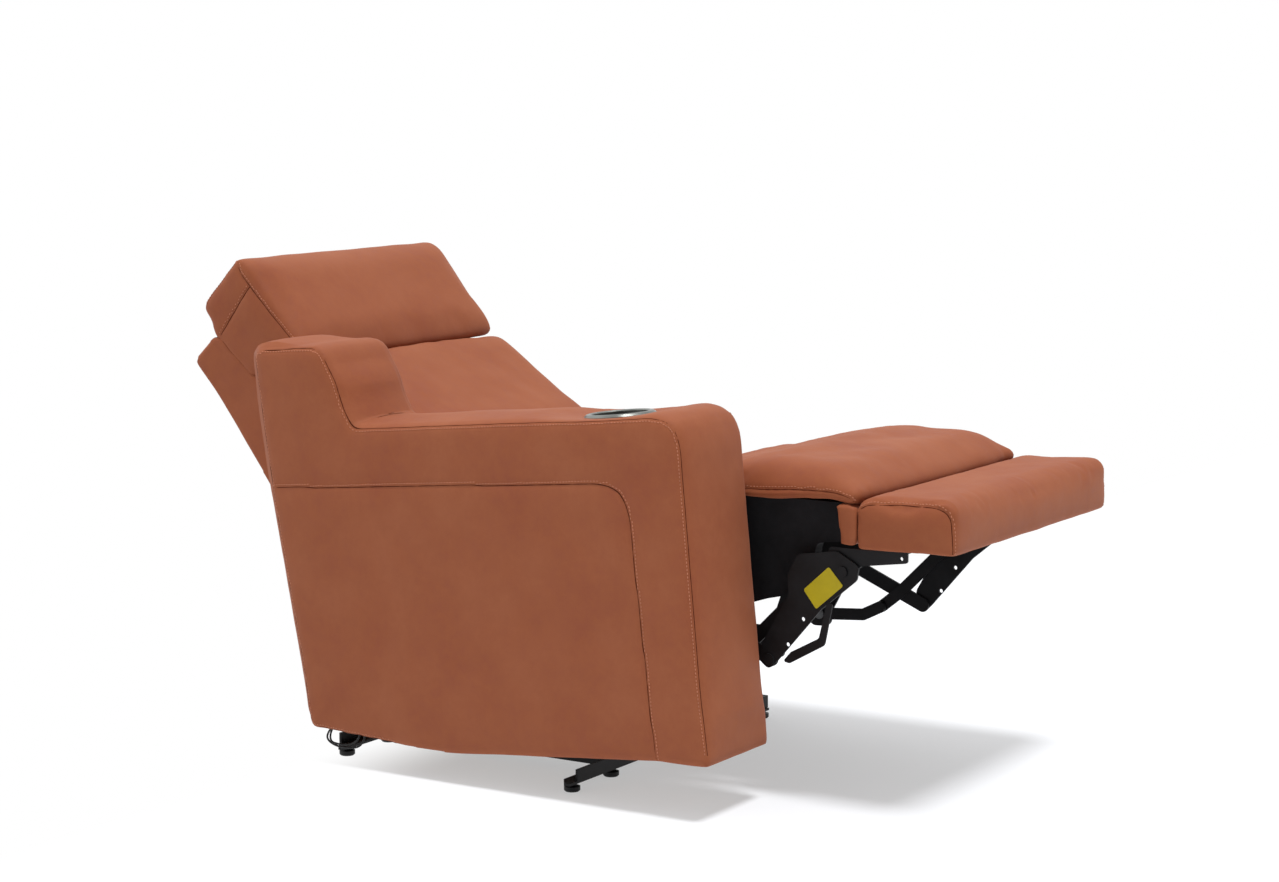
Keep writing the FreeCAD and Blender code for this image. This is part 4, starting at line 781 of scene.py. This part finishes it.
def make_headrest():
    """Headrest: a full front, sewn along its edges to two sides that each have a gusset."""
    obj = skin_over(blank_from("headrest_cushion", "headrest_cover"), voxel_mm=5.0, smooth=4, lean=51.0)
    outline = rounded(HEADREST_OUTLINE, HEADREST_RADII)
    swell(obj, pressure=4.0, cap_mm=6,
          free=lambda points: grade(points[:, 2] - 1.23 * (points[:, 1] - 899), 630, 20))
    points = fill_out(shop(obj), outline, SOFT_SIDES, grow=4.5, crown=4.0, bulge=4.0)
    points = round_edges(points, rounded_out(outline, 4.5), (SOFT_SIDES[0] - 2, SOFT_SIDES[1] + 2),
                         radius=15.0)
    points = nudge(points, [(899, 650, -15, -20, 34), (1023, 803, 8, -2, 26), (1100, 719, 13, -12, 34),
                            (1062, 668, 16, -8, 34), (1030, 636, 10, -9, 30), (1000, 607, 9, -14, 30),
                            (1078, 668, 3, -5, 22)])
    points = ease_sides(points, SOFT_SIDES, reach=60, drop=6, above=768)
    keep(obj, points)
    soften(obj, times=8, weight=lambda points: 1.0)
    soften(obj, times=55,
           weight=lambda points: grade(to_side(points, SOFT_SIDES), 8, 50) * grade(points[:, 2], 715, 50))
    front = [(900, 640), (919, 663), (968, 708), (1007, 747), (1026, 766), (1036, 788), (1052, 786),
             (1096, 733), (1106, 712)]
    gusset = [(1007, 745), (1040.5, 702), (1073, 660)]
    paths = []
    for x in (SOFT_SIDES[0] - 1, SOFT_SIDES[1] + 1):
        paths += [side_paths(front, x), side_paths(gusset, x)]
    lines = [resampled(path, step_mm=3) for path in paths]
    refine_near(obj, lines, reach_mm=9)
    press_seams(obj, lines, width_mm=2.8, depth_mm=1.8, pull_mm=1.2, pull_width_mm=14)
    roughen(obj, size_mm=120, seed=9, height_mm=1.0)
    dress(obj, "headrest", "headrest_cushion")
    surface = surface_of(obj)
    for i, path in enumerate(paths):
        sew("headrest_%d" % i, surface, "headrest", path, side_mm=-4.5 if i < 2 else 4.5)


def make_footrest():
    """Footrest: a firm block with a rounded front edge and a seam round each side."""
    obj = skin_over(blank_from("footrest_upholstery", "footrest_cover"), voxel_mm=5.0, smooth=4)
    outline = rounded(FOOTREST_OUTLINE, FOOTREST_RADII)
    swell(obj, pressure=4.0, cap_mm=5, free=lambda points: grade(points[:, 2], 410, 30))
    points = shop(obj)
    points = fill_out(points, outline, SOFT_SIDES, grow=2.5, crown=2.5, bulge=2.0,
                      weight=grade(points[:, 2], 405, 25))
    points = round_edges(points, rounded_out(outline, 2.5), SOFT_SIDES, radius=7.0)
    points = nudge(points, [(-305, 477, -5, 2, 30), (-314, 408, 1, -3, 40), (-153, 477, 1, -9, 20),
                            (-215, 480, 0, -2, 50)])
    keep(obj, points)
    side = [(-157, 464), (-168, 470.5), (-195, 475), (-236, 477), (-285, 475.5), (-300, 470), (-308, 457),
            (-311, 405)]
    paths = [side_paths(side, x) for x in (SOFT_SIDES[0], SOFT_SIDES[1])]
    lines = [resampled(path, step_mm=3) for path in paths]
    refine_near(obj, lines, reach_mm=9)
    press_seams(obj, lines, width_mm=2.8, depth_mm=1.8, pull_mm=1.0, pull_width_mm=12)
    roughen(obj, size_mm=130, seed=13, height_mm=0.8)
    dress(obj, "footrest", "footrest_upholstery")
    surface = surface_of(obj)
    for i, path in enumerate(paths):
        sew("footrest_%d" % i, surface, "footrest", path, side_mm=4.5 if i == 0 else -4.5)


def make_shell():
    """Outside of the back: leather over thin wadding on boards."""
    obj = skin_over(blank_from("back_shell", "back_outside"), voxel_mm=4.5, smooth=8, lean=52.0)
    keep(obj, nudge(shop(obj), [(1110, 630, 8, 1, 60), (1060, 650, 4, 2, 40)]))
    roughen(obj, size_mm=140, seed=15, height_mm=1.0)
    dress(obj, "back", "back_shell")


def make_apron():
    """Strip of leather between the knee pad and the footrest."""
    obj = skin_over(blank_from("front_apron", "apron_cover"), voxel_mm=4.0, smooth=4)
    keep(obj, nudge(shop(obj), [(-130, 458, 0, 5, 16), (-148, 430, -2, 0, 40)]))
    roughen(obj, size_mm=70, seed=17, height_mm=0.8)
    dress(obj, "seat", "front_apron")


def make_patch():
    """A thin blank patch stuck on the head of the near long link."""
    shape = bmesh.new()
    outline = [(-99, 369), (-124, 342), (-78, 302), (-56, 330)]
    corners = [shape.verts.new(place(PATCH_X, y, z)) for y, z in outline]
    shape.faces.new(corners)
    bmesh.ops.bevel(shape, geom=corners, offset=3 * MM, segments=3, affect="VERTICES", profile=0.5,
                    material=-1)
    top = bmesh.ops.extrude_face_region(shape, geom=shape.faces[:])
    raised = [v for v in top["geom"] if isinstance(v, bmesh.types.BMVert)]
    bmesh.ops.translate(shape, vec=(-0.4 * MM, 0, 0), verts=raised)
    bmesh.ops.recalc_face_normals(shape, faces=shape.faces)
    mesh = mesh_from(shape, "blank_patch")
    obj = put("blank_patch", mesh)
    mesh.materials.append(YELLOW)
    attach(obj, "long_link")


# Leads that hang in loops below the arm: the x of each, and the points of its route
LEADS = {
    "lead_loop_outer": (-348, [(709, 61), (722, 49), (727, 34), (708, 25), (684, 25), (661, 28), (648, 44),
                               (646, 66)]),
    "lead_loop_inner": (-352, [(706, 61), (715, 50), (716, 32), (698, 30), (683, 30.5), (665, 36),
                               (654.5, 50), (654, 66)]),
}


def make_leads():
    for name, (x, points) in LEADS.items():
        curve = bpy.data.curves.new(name, "CURVE")
        curve.dimensions = "3D"
        curve.bevel_depth = LEAD_THICK / 2 * MM
        curve.bevel_resolution = 3
        curve.resolution_u = 10
        curve.use_fill_caps = True
        spline = curve.splines.new("NURBS")
        spline.points.add(len(points) - 1)
        for at, (y, z) in zip(spline.points, points):
            at.co = (*place(x, y, z), 1.0)
        spline.order_u = 3
        spline.use_endpoint_u = True
        obj = put(name, curve)
        curve.materials.append(PLASTIC)
        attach(obj, "carriage")
        # The lead's middle is made into a mesh without its thickness, which is removed again.
        bare = curve.copy()
        bare.bevel_depth = 0
        probe = bpy.data.objects.new(name + "_probe", bare)
        line = bpy.data.meshes.new_from_object(probe)
        bpy.data.objects.remove(probe)
        bpy.data.meshes.remove(line)
    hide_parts("arm_leads")


# Studio
def make_studio():
    """White room: a floor that emits painted light, a world that is dark behind the camera, and one lamp
    overhead.
    """
    floor = bmesh.new()
    bmesh.ops.create_grid(floor, x_segments=1, y_segments=1, size=30)
    mesh = mesh_from(floor, "studio_floor")
    obj = put("studio_floor", mesh)
    # White paper that emits light by itself, as painted light: fully behind the chair and partly everywhere
    # else, so that only the front of the chair leaves a shadow on it, and that shadow is lightened.
    paper, tree, shader = finish_named("white_paper_painted_light")
    shader.inputs["Base Color"].default_value = (0.88, 0.9, 0.94, 1)
    shader.inputs["Roughness"].default_value = 0.9
    shader.inputs["Specular IOR Level"].default_value = 0.0
    painted_light_emission = add(tree, "ShaderNodeEmission", {"Color": (1, 1, 1, 1), "Strength": 1.0})
    spot = add(tree, "ShaderNodeSeparateXYZ", Vector=add(tree, "ShaderNodeTexCoord").outputs["Object"])
    # How much painted light the paper gives out: 0.44 of it in front, all of it behind the chair.
    behind = add(tree, "ShaderNodeMapRange",
                 {"From Min": 0.12, "From Max": 0.36, "To Min": 0.44, "interpolation_type": "SMOOTHSTEP"},
                 Value=spot.outputs["Y"])
    both = add(tree, "ShaderNodeMixShader", Fac=behind.outputs["Result"],
               i1=shader.outputs["BSDF"], i2=painted_light_emission.outputs["Emission"])
    out = next(node for node in tree.nodes if node.type == "OUTPUT_MATERIAL")
    tree.links.new(both.outputs["Shader"], out.inputs["Surface"])
    mesh.materials.append(paper)
    world = bpy.data.worlds.new("studio_light")
    bpy.context.scene.world = world
    world.use_nodes = True
    tree = world.node_tree
    sky = tree.nodes["Background"]
    sky.inputs["Color"].default_value = (1, 1, 1, 1)
    towards = add(tree, "ShaderNodeTexCoord").outputs["Generated"]
    # Light is taken away on the outer side of the arm and added from behind the chair.
    light = None
    for direction, low, high, gain in (
            ((-0.696, -0.597, 0.398), -0.05, 0.8, -0.93), ((-0.594, 0.792, 0.149), 0.2, 1.0, 0.55)):
        side = add(tree, "ShaderNodeVectorMath", {"operation": "DOT_PRODUCT", 1: direction}, i0=towards)
        share = add(tree, "ShaderNodeMapRange",
                    {"From Min": low, "From Max": high, "To Max": gain, "interpolation_type": "SMOOTHSTEP"},
                    Value=side.outputs["Value"])
        before = {} if light is None else {"i1": light.outputs["Value"]}
        light = add(tree, "ShaderNodeMath", {"operation": "ADD", 1: 1.0},
                    i0=share.outputs["Result"], **before)
    tree.links.new(light.outputs["Value"], sky.inputs["Strength"])
    sun = bpy.data.lights.new("overhead_key", "SUN")
    sun.energy = 2.8
    sun.angle = math.radians(13)
    lamp = put("overhead_key", sun)
    lamp.rotation_euler = Vector((-0.10, -0.25, 1.0)).to_track_quat("Z", "Y").to_euler()
    bpy.context.scene.view_settings.view_transform = "Standard"


set_camera()
make_leads()
dress_cad_nodes()
make_arm()
make_pad()
make_seat_cushion()
make_back_cushion()
make_headrest()
make_footrest()
make_shell()
make_apron()
make_patch()
make_studio()
